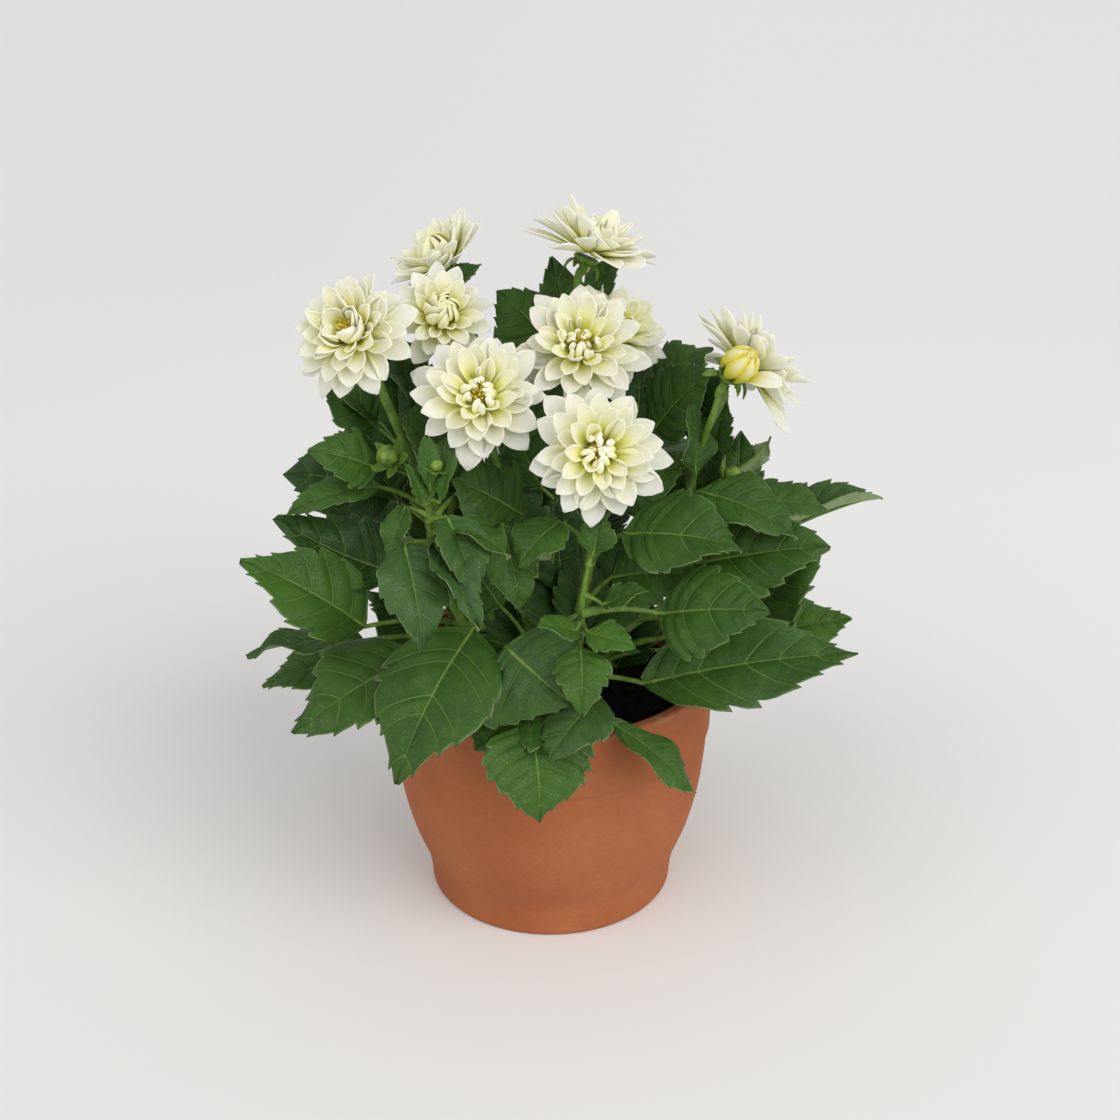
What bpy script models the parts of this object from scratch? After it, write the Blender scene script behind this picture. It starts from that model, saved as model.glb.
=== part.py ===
"""Potted dahlia: a terracotta pot of soil with leafy stems, nine cream blooms and one opening bud.

Metres, +Z up. The origin is the middle of the pot's underside and the plant's front faces -Y.
"""

import math
import random
from collections import namedtuple

import bmesh
import bpy
from mathutils import Quaternion, Vector, noise

# Pot and soil
POT_HEIGHT = 0.114
RIM_RADIUS = 0.075
WALL = 0.005
FLOOR = 0.006
DRAIN_HOLES = 4
DRAIN_RADIUS = 0.0045
DRAIN_PLACE = 0.033
POT_SEGMENTS = 26
SOIL_TOP = 0.098
SOIL_LUMP = 0.0012
GAP = 0.0003

# Heights at which the pot's inside turns, from the top down
INSIDE_HEIGHTS = (0.052, 0.026, 0.014)

# Outside of the pot from the foot to the collar, as (radius, height)
POT_OUTSIDE = (
    (0.0562, 0.0),
    (0.0577, 0.0014),
    (0.0588, 0.015),
    (0.0630, 0.026),
    (0.0667, 0.037),
    (0.0702, 0.052),
    (0.0732, 0.0826),
    (0.0744, 0.0842),
    (RIM_RADIUS, POT_HEIGHT - 0.0012),
    (RIM_RADIUS - 0.0012, POT_HEIGHT),
)

# Stems
STEM_FOOT = 0.086
STEM_STRAIGHT = 0.104
STEM_SIDES = 5
STALK_RADIUS = 0.0009
STALK_PLACES = (0.0, 0.5)
SHORT_STALK = 0.036
STALK_CORNERS = ((1, 1), (-1, 1), (-1, -1), (1, -1))
HOLE_SIDES = 6
HOLE_MARGIN = 0.0009
CALYX_HEIGHT = 0.005
CALYX_RADIUS = 0.006

# Blades
BLADE_THICKNESS = 0.0007
PETAL_THICKNESS = 0.0007
LARGE_LEAF = 0.044

# Half outlines as (share of the length, share of the half width); the teeth point to the tip
LARGE_OUTLINE = (
    (0.0, 0.07),
    (0.15, 0.70),
    (0.30, 1.0),
    (0.33, 0.87),
    (0.54, 0.93),
    (0.57, 0.75),
    (0.79, 0.53),
    (0.82, 0.36),
)
SMALL_OUTLINE = (
    (0.0, 0.10),
    (0.20, 0.78),
    (0.37, 1.0),
    (0.41, 0.84),
    (0.68, 0.68),
    (0.72, 0.48),
)
LARGE_RIB = (0.25, 0.5, 0.75)
SMALL_RIB = (0.3, 0.62)

# A leaf: height of its joint on the stem, blade base, blade tip, width, arch of the midrib,
# fold of the halves in degrees (up is plus) and roll about the midrib in degrees
Leaf = namedtuple("Leaf", "joint base tip width arch fold roll")
Stem = namedtuple("Stem", "path radius bloom leaves")
Bloom = namedtuple("Bloom", "centre axis radius lowest petals spin")

BLOOMS = {
    "bloom_left": Bloom((-0.0805, -0.015, 0.274), (-0.25, -0.75, 0.60), 0.031, -4, 18, 10),
    "bloom_back_left": Bloom((-0.048, 0.045, 0.289), (-0.50, -0.20, 0.84), 0.0265, 24, 18, 50),
    "bloom_mid_left": Bloom((-0.0462, 0.005, 0.2757), (0.10, -0.80, 0.60), 0.0248, 4, 18, 90),
    "bloom_front_left": Bloom((-0.029, -0.027, 0.250), (0.00, -0.78, 0.62), 0.032, -2, 18, 20),
    "bloom_centre": Bloom((0.013, -0.005, 0.265), (0.00, -0.76, 0.65), 0.0315, -4, 18, 70),
    "bloom_front": Bloom((0.020, -0.048, 0.233), (0.05, -0.90, 0.42), 0.0318, -4, 18, 130),
    "bloom_back": Bloom((0.018, 0.031, 0.2995), (0.36, 0.08, 0.93), 0.0325, -2, 18, 0),
    "bloom_back_right": Bloom((0.030, 0.031, 0.261), (0.40, -0.60, 0.70), 0.027, -2, 18, 40),
    "bloom_right": Bloom((0.086, 0.000, 0.256), (0.75, 0.25, 0.60), 0.0345, -6, 18, 175),
}

STEMS = {
    "stem_left": Stem(
        ((-0.018, -0.001), (-0.028, -0.005, 0.140), (-0.047, -0.007, 0.185), (-0.064, -0.006, 0.225),
         (-0.074, -0.003, 0.250)),
        0.0024, "bloom_left", (
            Leaf(0.130, (-0.079, -0.046, 0.153), (-0.130, -0.047, 0.185), 0.045, 0.003, 12, -38),
            Leaf(0.122, (-0.083, -0.022, 0.134), (-0.136, -0.024, 0.128), 0.030, 0.004, 20, -6),
            Leaf(0.112, (-0.088, -0.004, 0.115), (-0.132, -0.014, 0.107), 0.032, 0.003, 12, -22),
            Leaf(0.155, (-0.066, -0.026, 0.169), (-0.117, -0.030, 0.197), 0.040, -0.003, 14, -38),
            Leaf(0.172, (-0.070, 0.010, 0.193), (-0.119, 0.006, 0.203), 0.050, 0.004, 10, -45),
            Leaf(0.188, (-0.073, -0.020, 0.207), (-0.112, -0.032, 0.199), 0.022, 0.004, 25, -20),
            Leaf(0.205, (-0.074, -0.018, 0.215), (-0.102, -0.027, 0.226), 0.031, 0.002, 10, -40),
            Leaf(0.212, (-0.076, 0.010, 0.223), (-0.100, 0.012, 0.240), 0.030, 0.002, 12, -38),
            Leaf(0.145, (-0.066, 0.030, 0.163), (-0.114, 0.048, 0.168), 0.048, 0.005, 12, 0),
        )),
    "stem_mid_left": Stem(
        ((-0.012, 0.010), (-0.020, 0.012, 0.150), (-0.031, 0.016, 0.200), (-0.043, 0.020, 0.245)),
        0.0022, "bloom_mid_left", (
            Leaf(0.214, (-0.051, 0.008, 0.240), (-0.041, -0.013, 0.204), 0.038, 0.004, 8, 0),
            Leaf(0.205, (-0.058, 0.026, 0.228), (-0.078, 0.020, 0.262), 0.036, 0.002, 12, -30),
            Leaf(0.116, (-0.028, 0.022, 0.132), (-0.058, 0.018, 0.146), 0.038, 0.003, 10, -38),
            Leaf(0.165, (-0.058, 0.056, 0.186), (-0.094, 0.088, 0.180), 0.050, 0.006, 12, 0),
            Leaf(0.120, (-0.064, 0.062, 0.136), (-0.104, 0.092, 0.116), 0.046, 0.006, 12, 0),
        )),
    "stem_back_left": Stem(
        ((-0.006, 0.021), (-0.014, 0.028, 0.160), (-0.024, 0.035, 0.215), (-0.036, 0.041, 0.262)),
        0.0022, "bloom_back_left", (
            Leaf(0.228, (-0.038, 0.058, 0.243), (-0.068, 0.078, 0.250), 0.036, 0.004, 12, 0),
            Leaf(0.190, (-0.030, 0.070, 0.208), (-0.050, 0.114, 0.208), 0.048, 0.006, 12, 0),
            Leaf(0.140, (-0.028, 0.080, 0.152), (-0.050, 0.128, 0.142), 0.050, 0.006, 12, 0),
        )),
    "stem_front_left": Stem(
        ((-0.005, -0.010), (-0.012, -0.013, 0.150), (-0.020, -0.015, 0.200), (-0.027, -0.012, 0.232)),
        0.0022, "bloom_front_left", (
            Leaf(0.178, (-0.012, -0.024, 0.196), (-0.042, -0.026, 0.213), 0.042, 0.002, 10, -40),
            Leaf(0.165, (-0.020, -0.040, 0.198), (-0.012, -0.060, 0.166), 0.026, 0.003, 12, 0),
            Leaf(0.125, (-0.022, -0.020, 0.150), (-0.042, -0.018, 0.176), 0.042, 0.003, 10, -38),
        )),
    "shoot_left": Stem(
        ((-0.021, -0.018), (-0.034, -0.032, 0.140), (-0.047, -0.044, 0.175), (-0.050, -0.048, 0.205),
         (-0.047, -0.047, 0.222)),
        0.0022, None, (
            Leaf(0.125, (-0.058, -0.044, 0.138), (-0.108, -0.074, 0.116), 0.056, 0.005, 8, -20),
            Leaf(0.132, (-0.032, -0.058, 0.158), (-0.063, -0.104, 0.110), 0.059, 0.006, 8, 0),
            Leaf(0.203, (-0.042, -0.054, 0.207), (-0.031, -0.074, 0.180), 0.026, 0.005, 15, 0),
            Leaf(0.190, (-0.047, -0.058, 0.196), (-0.028, -0.086, 0.171), 0.024, 0.004, 18, 10),
            Leaf(0.192, (-0.060, -0.056, 0.196), (-0.051, -0.086, 0.161), 0.032, 0.005, 6, 0),
            Leaf(0.205, (-0.060, -0.045, 0.208), (-0.066, -0.060, 0.188), 0.014, 0.003, 15, 0),
        )),
    "shoot_front": Stem(
        ((0.003, -0.026), (0.007, -0.044, 0.125), (0.012, -0.062, 0.150), (0.014, -0.063, 0.175),
         (0.017, -0.058, 0.192)),
        0.0019, None, (
            Leaf(0.138, (-0.018, -0.075, 0.158), (0.009, -0.090, 0.139), 0.053, 0.003, 6, 44),
            Leaf(0.116, (-0.008, -0.084, 0.127), (-0.004, -0.106, 0.093), 0.049, 0.006, 8, 0),
            Leaf(0.126, (0.021, -0.080, 0.137), (0.000, -0.103, 0.120), 0.035, 0.004, 6, 0),
            Leaf(0.158, (0.013, -0.082, 0.161), (0.013, -0.102, 0.140), 0.024, 0.003, 10, 0),
            Leaf(0.163, (0.011, -0.082, 0.169), (-0.005, -0.094, 0.177), 0.018, 0.001, 10, -20),
            Leaf(0.163, (0.0155, -0.079, 0.167), (0.035, -0.090, 0.165), 0.018, 0.001, 10, 20),
            Leaf(0.112, (0.026, -0.072, 0.121), (0.061, -0.085, 0.094), 0.024, 0.003, 8, 10),
            Leaf(0.168, (0.046, -0.060, 0.166), (0.089, -0.082, 0.178), 0.046, 0.003, 6, 42),
            Leaf(0.128, (0.040, -0.058, 0.132), (0.131, -0.057, 0.146), 0.044, 0.004, 8, 32),
            Leaf(0.188, (0.018, -0.060, 0.193), (0.022, -0.052, 0.209), 0.019, 0.001, 10, 0),
            Leaf(0.176, (0.022, -0.068, 0.174), (0.040, -0.076, 0.185), 0.015, 0.001, 10, 25),
        )),
    "stem_front": Stem(
        ((0.011, -0.012), (0.014, -0.020, 0.150), (0.020, -0.028, 0.190), (0.023, -0.031, 0.215)),
        0.0024, "bloom_front", (
            Leaf(0.176, (0.032, -0.036, 0.192), (0.081, -0.052, 0.192), 0.046, 0.004, 8, 32),
            Leaf(0.148, (0.027, -0.032, 0.170), (0.064, -0.044, 0.176), 0.040, 0.003, 10, 36),
            Leaf(0.180, (0.004, -0.042, 0.200), (-0.013, -0.060, 0.186), 0.028, 0.003, 10, -10),
        )),
    "stem_centre": Stem(
        ((0.003, 0.003), (0.007, 0.006, 0.160), (0.012, 0.009, 0.215), (0.015, 0.011, 0.242)),
        0.0020, "bloom_centre", (
            Leaf(0.200, (-0.002, 0.006, 0.226), (-0.030, 0.000, 0.246), 0.036, 0.002, 10, -40),
            Leaf(0.172, (0.030, 0.002, 0.196), (0.060, -0.008, 0.212), 0.042, 0.003, 10, 38),
            Leaf(0.142, (0.000, -0.006, 0.160), (0.006, -0.014, 0.190), 0.030, 0.002, 10, 0),
            Leaf(0.180, (-0.004, 0.002, 0.198), (-0.016, -0.002, 0.230), 0.032, 0.002, 10, -100),
            Leaf(0.155, (0.005, -0.001, 0.150), (0.005, -0.008, 0.114), 0.034, 0.001, 10, 0),
            Leaf(0.124, (0.018, -0.006, 0.144), (0.048, -0.018, 0.152), 0.042, 0.003, 10, 38),
        )),
    "stem_back": Stem(
        ((0.003, 0.018), (0.006, 0.024, 0.160), (0.010, 0.030, 0.215), (0.012, 0.032, 0.262)),
        0.0022, "bloom_back", (
            Leaf(0.236, (0.003, 0.038, 0.250), (-0.024, 0.048, 0.275), 0.042, 0.002, 8, -45),
            Leaf(0.244, (0.008, 0.046, 0.260), (0.000, 0.056, 0.288), 0.026, 0.002, 12, -20),
            Leaf(0.250, (0.018, 0.046, 0.270), (0.030, 0.056, 0.289), 0.018, 0.001, 12, 20),
            Leaf(0.205, (0.010, 0.064, 0.224), (0.003, 0.110, 0.234), 0.044, 0.005, 12, 0),
            Leaf(0.165, (0.010, 0.080, 0.180), (0.004, 0.132, 0.176), 0.050, 0.006, 12, 0),
            Leaf(0.118, (0.010, 0.086, 0.126), (0.004, 0.130, 0.104), 0.046, 0.006, 12, 0),
        )),
    "stem_back_right": Stem(
        ((0.014, 0.013), (0.021, 0.021, 0.160), (0.026, 0.030, 0.210), (0.029, 0.036, 0.239)),
        0.0022, "bloom_back_right", (
            Leaf(0.220, (0.047, 0.036, 0.235), (0.073, 0.034, 0.252), 0.031, 0.002, 12, 35),
            Leaf(0.198, (0.046, 0.016, 0.220), (0.071, 0.010, 0.251), 0.042, 0.002, 10, 40),
            Leaf(0.122, (0.034, 0.034, 0.138), (0.062, 0.036, 0.150), 0.036, 0.003, 10, 30),
            Leaf(0.215, (0.046, 0.060, 0.226), (0.072, 0.088, 0.232), 0.042, 0.005, 12, 0),
            Leaf(0.170, (0.044, 0.066, 0.182), (0.072, 0.112, 0.178), 0.050, 0.006, 12, 0),
            Leaf(0.128, (0.052, 0.068, 0.138), (0.088, 0.108, 0.120), 0.046, 0.006, 12, 0),
        )),
    "stem_right": Stem(
        ((0.018, -0.003), (0.034, -0.004, 0.132), (0.052, -0.005, 0.165), (0.061, -0.005, 0.199),
         (0.065, -0.005, 0.220), (0.075, -0.003, 0.242)),
        0.0026, "bloom_right", (
            Leaf(0.156, (0.060, -0.024, 0.172), (0.121, -0.030, 0.184), 0.050, 0.003, 20, 34),
            Leaf(0.136, (0.086, -0.002, 0.132), (0.120, -0.008, 0.170), 0.042, 0.002, 8, 30),
            Leaf(0.120, (0.094, 0.006, 0.122), (0.139, 0.006, 0.131), 0.038, 0.003, 10, 30),
            Leaf(0.170, (0.092, 0.016, 0.164), (0.153, 0.028, 0.184), 0.036, 0.003, 54, 10),
            Leaf(0.186, (0.088, 0.004, 0.190), (0.124, 0.002, 0.187), 0.025, 0.003, 10, 25),
            Leaf(0.194, (0.066, -0.016, 0.203), (0.106, -0.034, 0.189), 0.036, 0.004, 20, 25),
            Leaf(0.202, (0.063, -0.012, 0.210), (0.060, -0.006, 0.240), 0.024, 0.002, 12, 20),
            Leaf(0.206, (0.071, 0.006, 0.213), (0.078, 0.012, 0.234), 0.020, 0.002, 12, 20),
            Leaf(0.190, (0.084, 0.010, 0.203), (0.098, 0.010, 0.219), 0.015, 0.002, 12, 20),
            Leaf(0.158, (0.084, 0.038, 0.164), (0.126, 0.062, 0.162), 0.046, 0.005, 12, 0),
            Leaf(0.130, (0.084, 0.036, 0.134), (0.128, 0.060, 0.120), 0.046, 0.006, 12, 0),
        )),
}

# Closed green buds on short stalks: stem, joint height, centre, radius
GREEN_BUDS = (
    ("stem_left", 0.205, (-0.069, -0.022, 0.222), 0.0050),
    ("stem_right", 0.196, (0.080, -0.008, 0.207), 0.0048),
    ("shoot_left", 0.220, (-0.046, -0.049, 0.228), 0.0028),
)

# The opening bud stands on a side stalk of the right stem
OPENING_BUD_STEM = "stem_right"
OPENING_BUD_JOINT = 0.214
OPENING_BUD = Bloom((0.078, -0.020, 0.2605), (0.42, -0.62, 0.66), 0.0095, 62, 11, 0)
GOLDEN_ANGLE = math.radians(137.508)


def clear_scene():
    for thing in list(bpy.data.objects):
        bpy.data.objects.remove(thing, do_unlink=True)


def material(name, colour, roughness, metallic=0.0):
    made = bpy.data.materials.new(name)
    made.use_nodes = True
    shader = made.node_tree.nodes["Principled BSDF"]
    shader.inputs["Base Color"].default_value = (*colour, 1.0)
    shader.inputs["Roughness"].default_value = roughness
    shader.inputs["Metallic"].default_value = metallic
    return made


def object_from(name, points, faces):
    """A closed mesh object in world coordinates with its faces turned outwards."""
    mesh = bpy.data.meshes.new(name)
    mesh.from_pydata([tuple(point) for point in points], [], faces)
    shape = bmesh.new()
    shape.from_mesh(mesh)
    bmesh.ops.recalc_face_normals(shape, faces=shape.faces)
    shape.to_mesh(mesh)
    shape.free()
    made = bpy.data.objects.new(name, mesh)
    bpy.context.scene.collection.objects.link(made)
    return made


def apply_boolean(target, operation, collection, solver):
    """Joins or cuts the target with every object of the collection, then removes those objects."""
    change = target.modifiers.new(operation.lower(), "BOOLEAN")
    change.operation = operation
    change.operand_type = "COLLECTION"
    change.collection = collection
    change.solver = solver
    bpy.context.view_layer.update()
    graph = bpy.context.evaluated_depsgraph_get()
    result = bpy.data.meshes.new_from_object(target.evaluated_get(graph))
    target.modifiers.clear()
    target.data = result
    for thing in list(collection.objects):
        bpy.data.objects.remove(thing, do_unlink=True)
    bpy.data.collections.remove(collection)


def collect(pieces):
    """Moves the pieces into a collection of their own."""
    group = bpy.data.collections.new("pieces")
    bpy.context.scene.collection.children.link(group)
    for piece in pieces:
        bpy.context.scene.collection.objects.unlink(piece)
        group.objects.link(piece)
    return group


def fused(name, pieces, finish, solver="EXACT"):
    """One solid made of the overlapping pieces."""
    body = pieces[0]
    body.name = name
    body.data.name = name
    if len(pieces) > 1:
        apply_boolean(body, "UNION", collect(pieces[1:]), solver)
    body.data.materials.clear()
    body.data.materials.append(finish)
    return body


def turned(name, profile, segments):
    """A closed solid turned round Z from (radius, height) pairs that start and end on the axis."""
    points = [(0.0, 0.0, profile[0][1])]
    for radius, height in profile[1:-1]:
        for step in range(segments):
            angle = math.tau * step / segments
            points.append((radius * math.cos(angle), radius * math.sin(angle), height))
    points.append((0.0, 0.0, profile[-1][1]))
    faces = [(0, 1 + (step + 1) % segments, 1 + step) for step in range(segments)]
    rings = len(profile) - 2
    for ring in range(rings - 1):
        low = 1 + ring * segments
        high = low + segments
        for step in range(segments):
            beside = (step + 1) % segments
            faces.append((low + step, low + beside, high + beside, high + step))
    last = 1 + (rings - 1) * segments
    faces += [(last + step, last + (step + 1) % segments, len(points) - 1) for step in range(segments)]
    return object_from(name, points, faces)


def smooth_curve(controls, count):
    """Points spread along a Catmull-Rom curve through the controls."""
    ends = [controls[0] * 2 - controls[1], *controls, controls[-1] * 2 - controls[-2]]
    spans = len(controls) - 1
    points = []
    for index in range(count):
        place = spans * index / (count - 1)
        span = min(int(place), spans - 1)
        share = place - span
        before, start, end, after = ends[span:span + 4]
        points.append(0.5 * (
            2 * start
            + (end - before) * share
            + (2 * before - 5 * start + 4 * end - after) * share ** 2
            + (3 * start - before - 3 * end + after) * share ** 3
        ))
    return points


def tube(name, points, radii, sides):
    """A closed tube along the points, one radius for each."""
    across = None
    rings = []
    for index, point in enumerate(points):
        along = (points[min(index + 1, len(points) - 1)] - points[max(index - 1, 0)]).normalized()
        if across is None:
            across = along.orthogonal().normalized()
        across = (across - along * across.dot(along)).normalized()
        beside = along.cross(across)
        for side in range(sides):
            angle = math.tau * side / sides
            reach = across * math.cos(angle) + beside * math.sin(angle)
            rings.append(point + reach * radii[index])
    faces = [tuple(range(sides)), tuple(len(rings) - 1 - side for side in range(sides))]
    for ring in range(len(points) - 1):
        low = ring * sides
        for side in range(sides):
            beside = (side + 1) % sides
            faces.append((low + side, low + beside, low + sides + beside, low + sides + side))
    return object_from(name, rings, faces)


def plate(name, surface, outline, rib, thickness, stalk=()):
    """A thin blade on a surface(along, across), split into triangles alike on both faces.

    The outline holds (along, across) for one side and the blade's tip is at along 1. The stalk's rings
    of four points each, from its far end to the blade, close the blade's root.
    """
    places = [(along, 0.0) for along in rib] + [(1.0, 0.0)]
    tip = len(rib)
    sides = []
    for sign in (1, -1):
        start = len(places)
        places += [(along, sign * across) for along, across in outline]
        sides.append(list(range(start, len(places))))
    triangles = [(0, sides[1][0], sides[0][0])]
    for sign, edge in zip((1, -1), sides):
        middle = list(range(tip + 1))
        border = edge + [tip]
        a = b = 0
        while a < tip or b < len(edge):
            along_rib = b == len(edge) or (
                a < tip and places[middle[a + 1]][0] <= places[border[b + 1]][0]
            )
            corner = (middle[a], middle[a + along_rib], border[b + 1 - along_rib])
            if not along_rib:
                corner = (middle[a], border[b + 1], border[b])
            else:
                corner = (middle[a], middle[a + 1], border[b])
            a += along_rib
            b += not along_rib
            if len(set(corner)) == 3:
                triangles.append(corner if sign == 1 else corner[::-1])
    points = []
    for shift in (0.5, -0.5):
        for along, across in places:
            point, upper = surface(along, across)
            points.append(point + upper * (shift * thickness))
    count = len(places)
    faces = list(triangles)
    faces += [tuple(count + corner for corner in reversed(face)) for face in triangles]
    rim = [*sides[0], tip, *reversed(sides[1])]
    for corner, after in zip(rim, rim[1:]):
        faces.append((corner, after, count + after))
        faces.append((corner, count + after, count + corner))
    left, right = sides[0][0], sides[1][0]
    ring = [left, right, count + right, count + left]
    for far_ring in reversed(stalk):
        start = len(points)
        points += far_ring
        far = list(range(start, start + 4))
        for side in range(4):
            beside = (side + 1) % 4
            faces.append((ring[side], ring[beside], far[beside], far[side]))
        ring = far
    faces.append(tuple(ring))
    return object_from(name, points, faces)


def leaf_surface(leaf):
    """The blade as a function of (along, across) that gives a point and the upper side's direction."""
    base = Vector(leaf.base)
    tip = Vector(leaf.tip)
    axis = (tip - base).normalized()
    face = (Vector((0, 0, 1)) - axis * axis.z).normalized()
    face.rotate(Quaternion(axis, math.radians(leaf.roll)))
    middle = (base + tip) / 2 + face * (2 * leaf.arch)
    fold = math.radians(leaf.fold)
    half_width = leaf.width / 2

    def surface(along, across):
        point = base * (1 - along) ** 2 + middle * (2 * along * (1 - along)) + tip * along ** 2
        tangent = ((middle - base) * (1 - along) + (tip - middle) * along).normalized()
        beside = tangent.cross(face).normalized()
        upper = beside.cross(tangent).normalized()
        reach = half_width * across
        point = point + beside * (reach * math.cos(fold)) + upper * (abs(reach) * math.sin(fold))
        if across:
            lean = math.copysign(math.sin(fold), across)
            upper = (upper * math.cos(fold) - beside * lean).normalized()
        return point, upper

    return surface


def leaf_piece(leaf, stem_points):
    """The toothed blade with its stalk, which starts inside the stem."""
    surface = leaf_surface(leaf)
    large = (Vector(leaf.tip) - Vector(leaf.base)).length > LARGE_LEAF
    outline = LARGE_OUTLINE if large else SMALL_OUTLINE
    rib = LARGE_RIB if large else SMALL_RIB
    joint = point_at_height(stem_points, leaf.joint)
    base = surface(0.0, 0.0)[0]
    beside = (surface(0.0, 1.0)[0] - surface(0.0, -1.0)[0]).normalized()
    bend = (joint + base) / 2 + Vector((0, 0, 0.12 * (base - joint).length))
    stalk = []
    short = (base - joint).length < SHORT_STALK
    for share in STALK_PLACES[:1 if short else 2]:
        centre = joint * (1 - share) ** 2 + bend * (2 * share * (1 - share)) + base * share ** 2
        course = ((bend - joint) * (1 - share) + (base - bend) * share).normalized()
        sideways = (beside - course * beside.dot(course)).normalized() * STALK_RADIUS
        lift = sideways.cross(course)
        stalk.append([centre + sideways * side + lift * height for side, height in STALK_CORNERS])
    return plate("leaf", surface, outline, rib, BLADE_THICKNESS, stalk)


def point_at_height(points, height):
    """Where a rising line of points reaches a height."""
    for low, high in zip(points, points[1:]):
        if low.z <= height <= high.z:
            return low.lerp(high, (height - low.z) / (high.z - low.z))
    return points[-1]


def seat_of(bloom):
    """The middle of the flat top of the calyx that carries a bloom."""
    return Vector(bloom.centre) - Vector(bloom.axis).normalized() * 0.005


def stem_line(stem):
    """The stem's points from its foot in the soil to the underside of its calyx or its tip."""
    foot = stem.path[0]
    controls = [Vector((*foot, STEM_STRAIGHT))] + [Vector(place) for place in stem.path[1:]]
    if stem.bloom:
        bloom = BLOOMS[stem.bloom]
        axis = Vector(bloom.axis).normalized()
        under = seat_of(bloom) - axis * CALYX_HEIGHT
        controls += [under - axis * 0.006, under]
    points = smooth_curve(controls, len(controls) + 1)
    return [Vector((*foot, STEM_FOOT)), *points]


def calyx_end(bloom):
    """Points and radii of the cup-shaped calyx under a bloom."""
    axis = Vector(bloom.axis).normalized()
    seat = seat_of(bloom)
    points = [seat - axis * (CALYX_HEIGHT - 0.0015), seat - axis * 0.001, seat]
    return points, [CALYX_RADIUS * share for share in (0.72, 1.0, 0.95)]


def stem_pieces(name, stem):
    points = stem_line(stem)
    count = len(points)
    radii = [stem.radius * (1.12 - 0.34 * index / (count - 1)) for index in range(count)]
    line = list(points)
    if stem.bloom:
        more, more_radii = calyx_end(BLOOMS[stem.bloom])
        line += more
        radii += more_radii
    pieces = [tube("stem", line, radii, STEM_SIDES)]
    for leaf in stem.leaves:
        pieces.append(leaf_piece(leaf, points))
    for owner, height, centre, radius in GREEN_BUDS:
        if owner == name:
            pieces += green_bud(point_at_height(points, height), Vector(centre), radius)
    if name == OPENING_BUD_STEM:
        pieces.append(bud_stalk(point_at_height(points, OPENING_BUD_JOINT)))
    return pieces


def green_bud(joint, centre, radius):
    """A round closed bud on its stalk."""
    axis = (centre - joint).normalized()
    line = [joint, joint.lerp(centre, 0.5), centre - axis * radius * 0.85, centre - axis * radius * 0.4,
            centre + axis * radius * 0.35, centre + axis * radius * 0.9]
    radii = [0.0013, 0.0011, 0.0013, radius * 0.92, radius, radius * 0.45]
    return [tube("green_bud", line, radii, 7)]


def bud_stalk(joint):
    """The side stalk and the calyx of the opening bud."""
    axis = Vector(OPENING_BUD.axis).normalized()
    seat = seat_of(OPENING_BUD)
    under = seat - axis * CALYX_HEIGHT
    points = smooth_curve([joint, joint.lerp(under, 0.5) + Vector((0, -0.003, 0)), under], 4)
    points += [seat - axis * (CALYX_HEIGHT - 0.0015), seat - axis * 0.001, seat]
    radii = [0.0019, 0.0017, 0.0017, 0.0018, 0.0040, 0.0056, 0.0054]
    return tube("bud_stalk", points, radii, STEM_SIDES)


def petal_surface(bloom, turn, start, length, width, rise, bend, cup):
    """A petal as a function of (along, across).

    The start is (distance from the axis, height above the seat), the rise is the angle from the disc's
    plane where the petal leaves the head, and the bend is how much that angle grows towards the tip.
    """
    axis = Vector(bloom.axis).normalized()
    across_axis = axis.orthogonal().normalized()
    outward = Quaternion(axis, turn) @ across_axis
    beside = axis.cross(outward)
    seat = seat_of(bloom)

    def surface(along, across):
        angle = rise + bend * along
        run = (math.sin(angle) - math.sin(rise)) / bend
        lift = (math.cos(rise) - math.cos(angle)) / bend
        upper = axis * math.cos(angle) - outward * math.sin(angle)
        point = seat + outward * (start[0] + length * run) + axis * (start[1] + length * lift)
        point = point + beside * (across * width / 2) + upper * (cup * width * across * across)
        return point, upper

    return surface


OUTER_PETAL = ((0.0, 0.24), (0.55, 1.0), (0.88, 0.68))
INNER_PETAL = ((0.0, 0.28), (0.64, 1.0))
PETAL_RIB = (0.55,)
OUTER_PETALS = 8


def bloom_petals(bloom):
    """Yields one surface and outline for each petal, from the lowest outwards ring to the curled centre."""
    draw = random.Random(bloom.spin)
    for index in range(bloom.petals):
        share = index / (bloom.petals - 1)
        turn = math.radians(bloom.spin) + index * GOLDEN_ANGLE + math.radians(draw.uniform(-5, 5))
        opening = bloom.lowest + (80 - bloom.lowest) * share ** 1.15 + draw.uniform(-3, 3)
        reach = bloom.radius * (1.0 - 0.66 * share ** 1.05)
        start = (0.0062 - 0.0022 * share, 0.0030 + 0.0060 * share)
        length = reach - start[0] * math.cos(math.radians(opening))
        width = 0.0134 * (bloom.radius / 0.030) * (1.0 - 0.60 * share)
        bend = math.radians(-14 + 48 * share)
        rise = math.radians(opening) - bend / 2
        outline = OUTER_PETAL if index < OUTER_PETALS else INNER_PETAL
        yield petal_surface(bloom, turn, start, length, width, rise, bend, 0.16), outline


def head_core(bloom, radius, height):
    """The low dome that the petals grow from, with a flat underside just above the calyx."""
    axis = Vector(bloom.axis).normalized()
    seat = seat_of(bloom) + axis * GAP
    line = [seat + axis * (height * share) for share in (0, 0.35, 1.0)]
    radii = [radius * share for share in (0.7, 1.0, 0.45)]
    return tube("core", line, radii, 7)


def bloom_pieces(bloom):
    pieces = [head_core(bloom, 0.0090, 0.0110)]
    for surface, outline in bloom_petals(bloom):
        pieces.append(plate("petal", surface, outline, PETAL_RIB, PETAL_THICKNESS))
    return pieces


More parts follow.
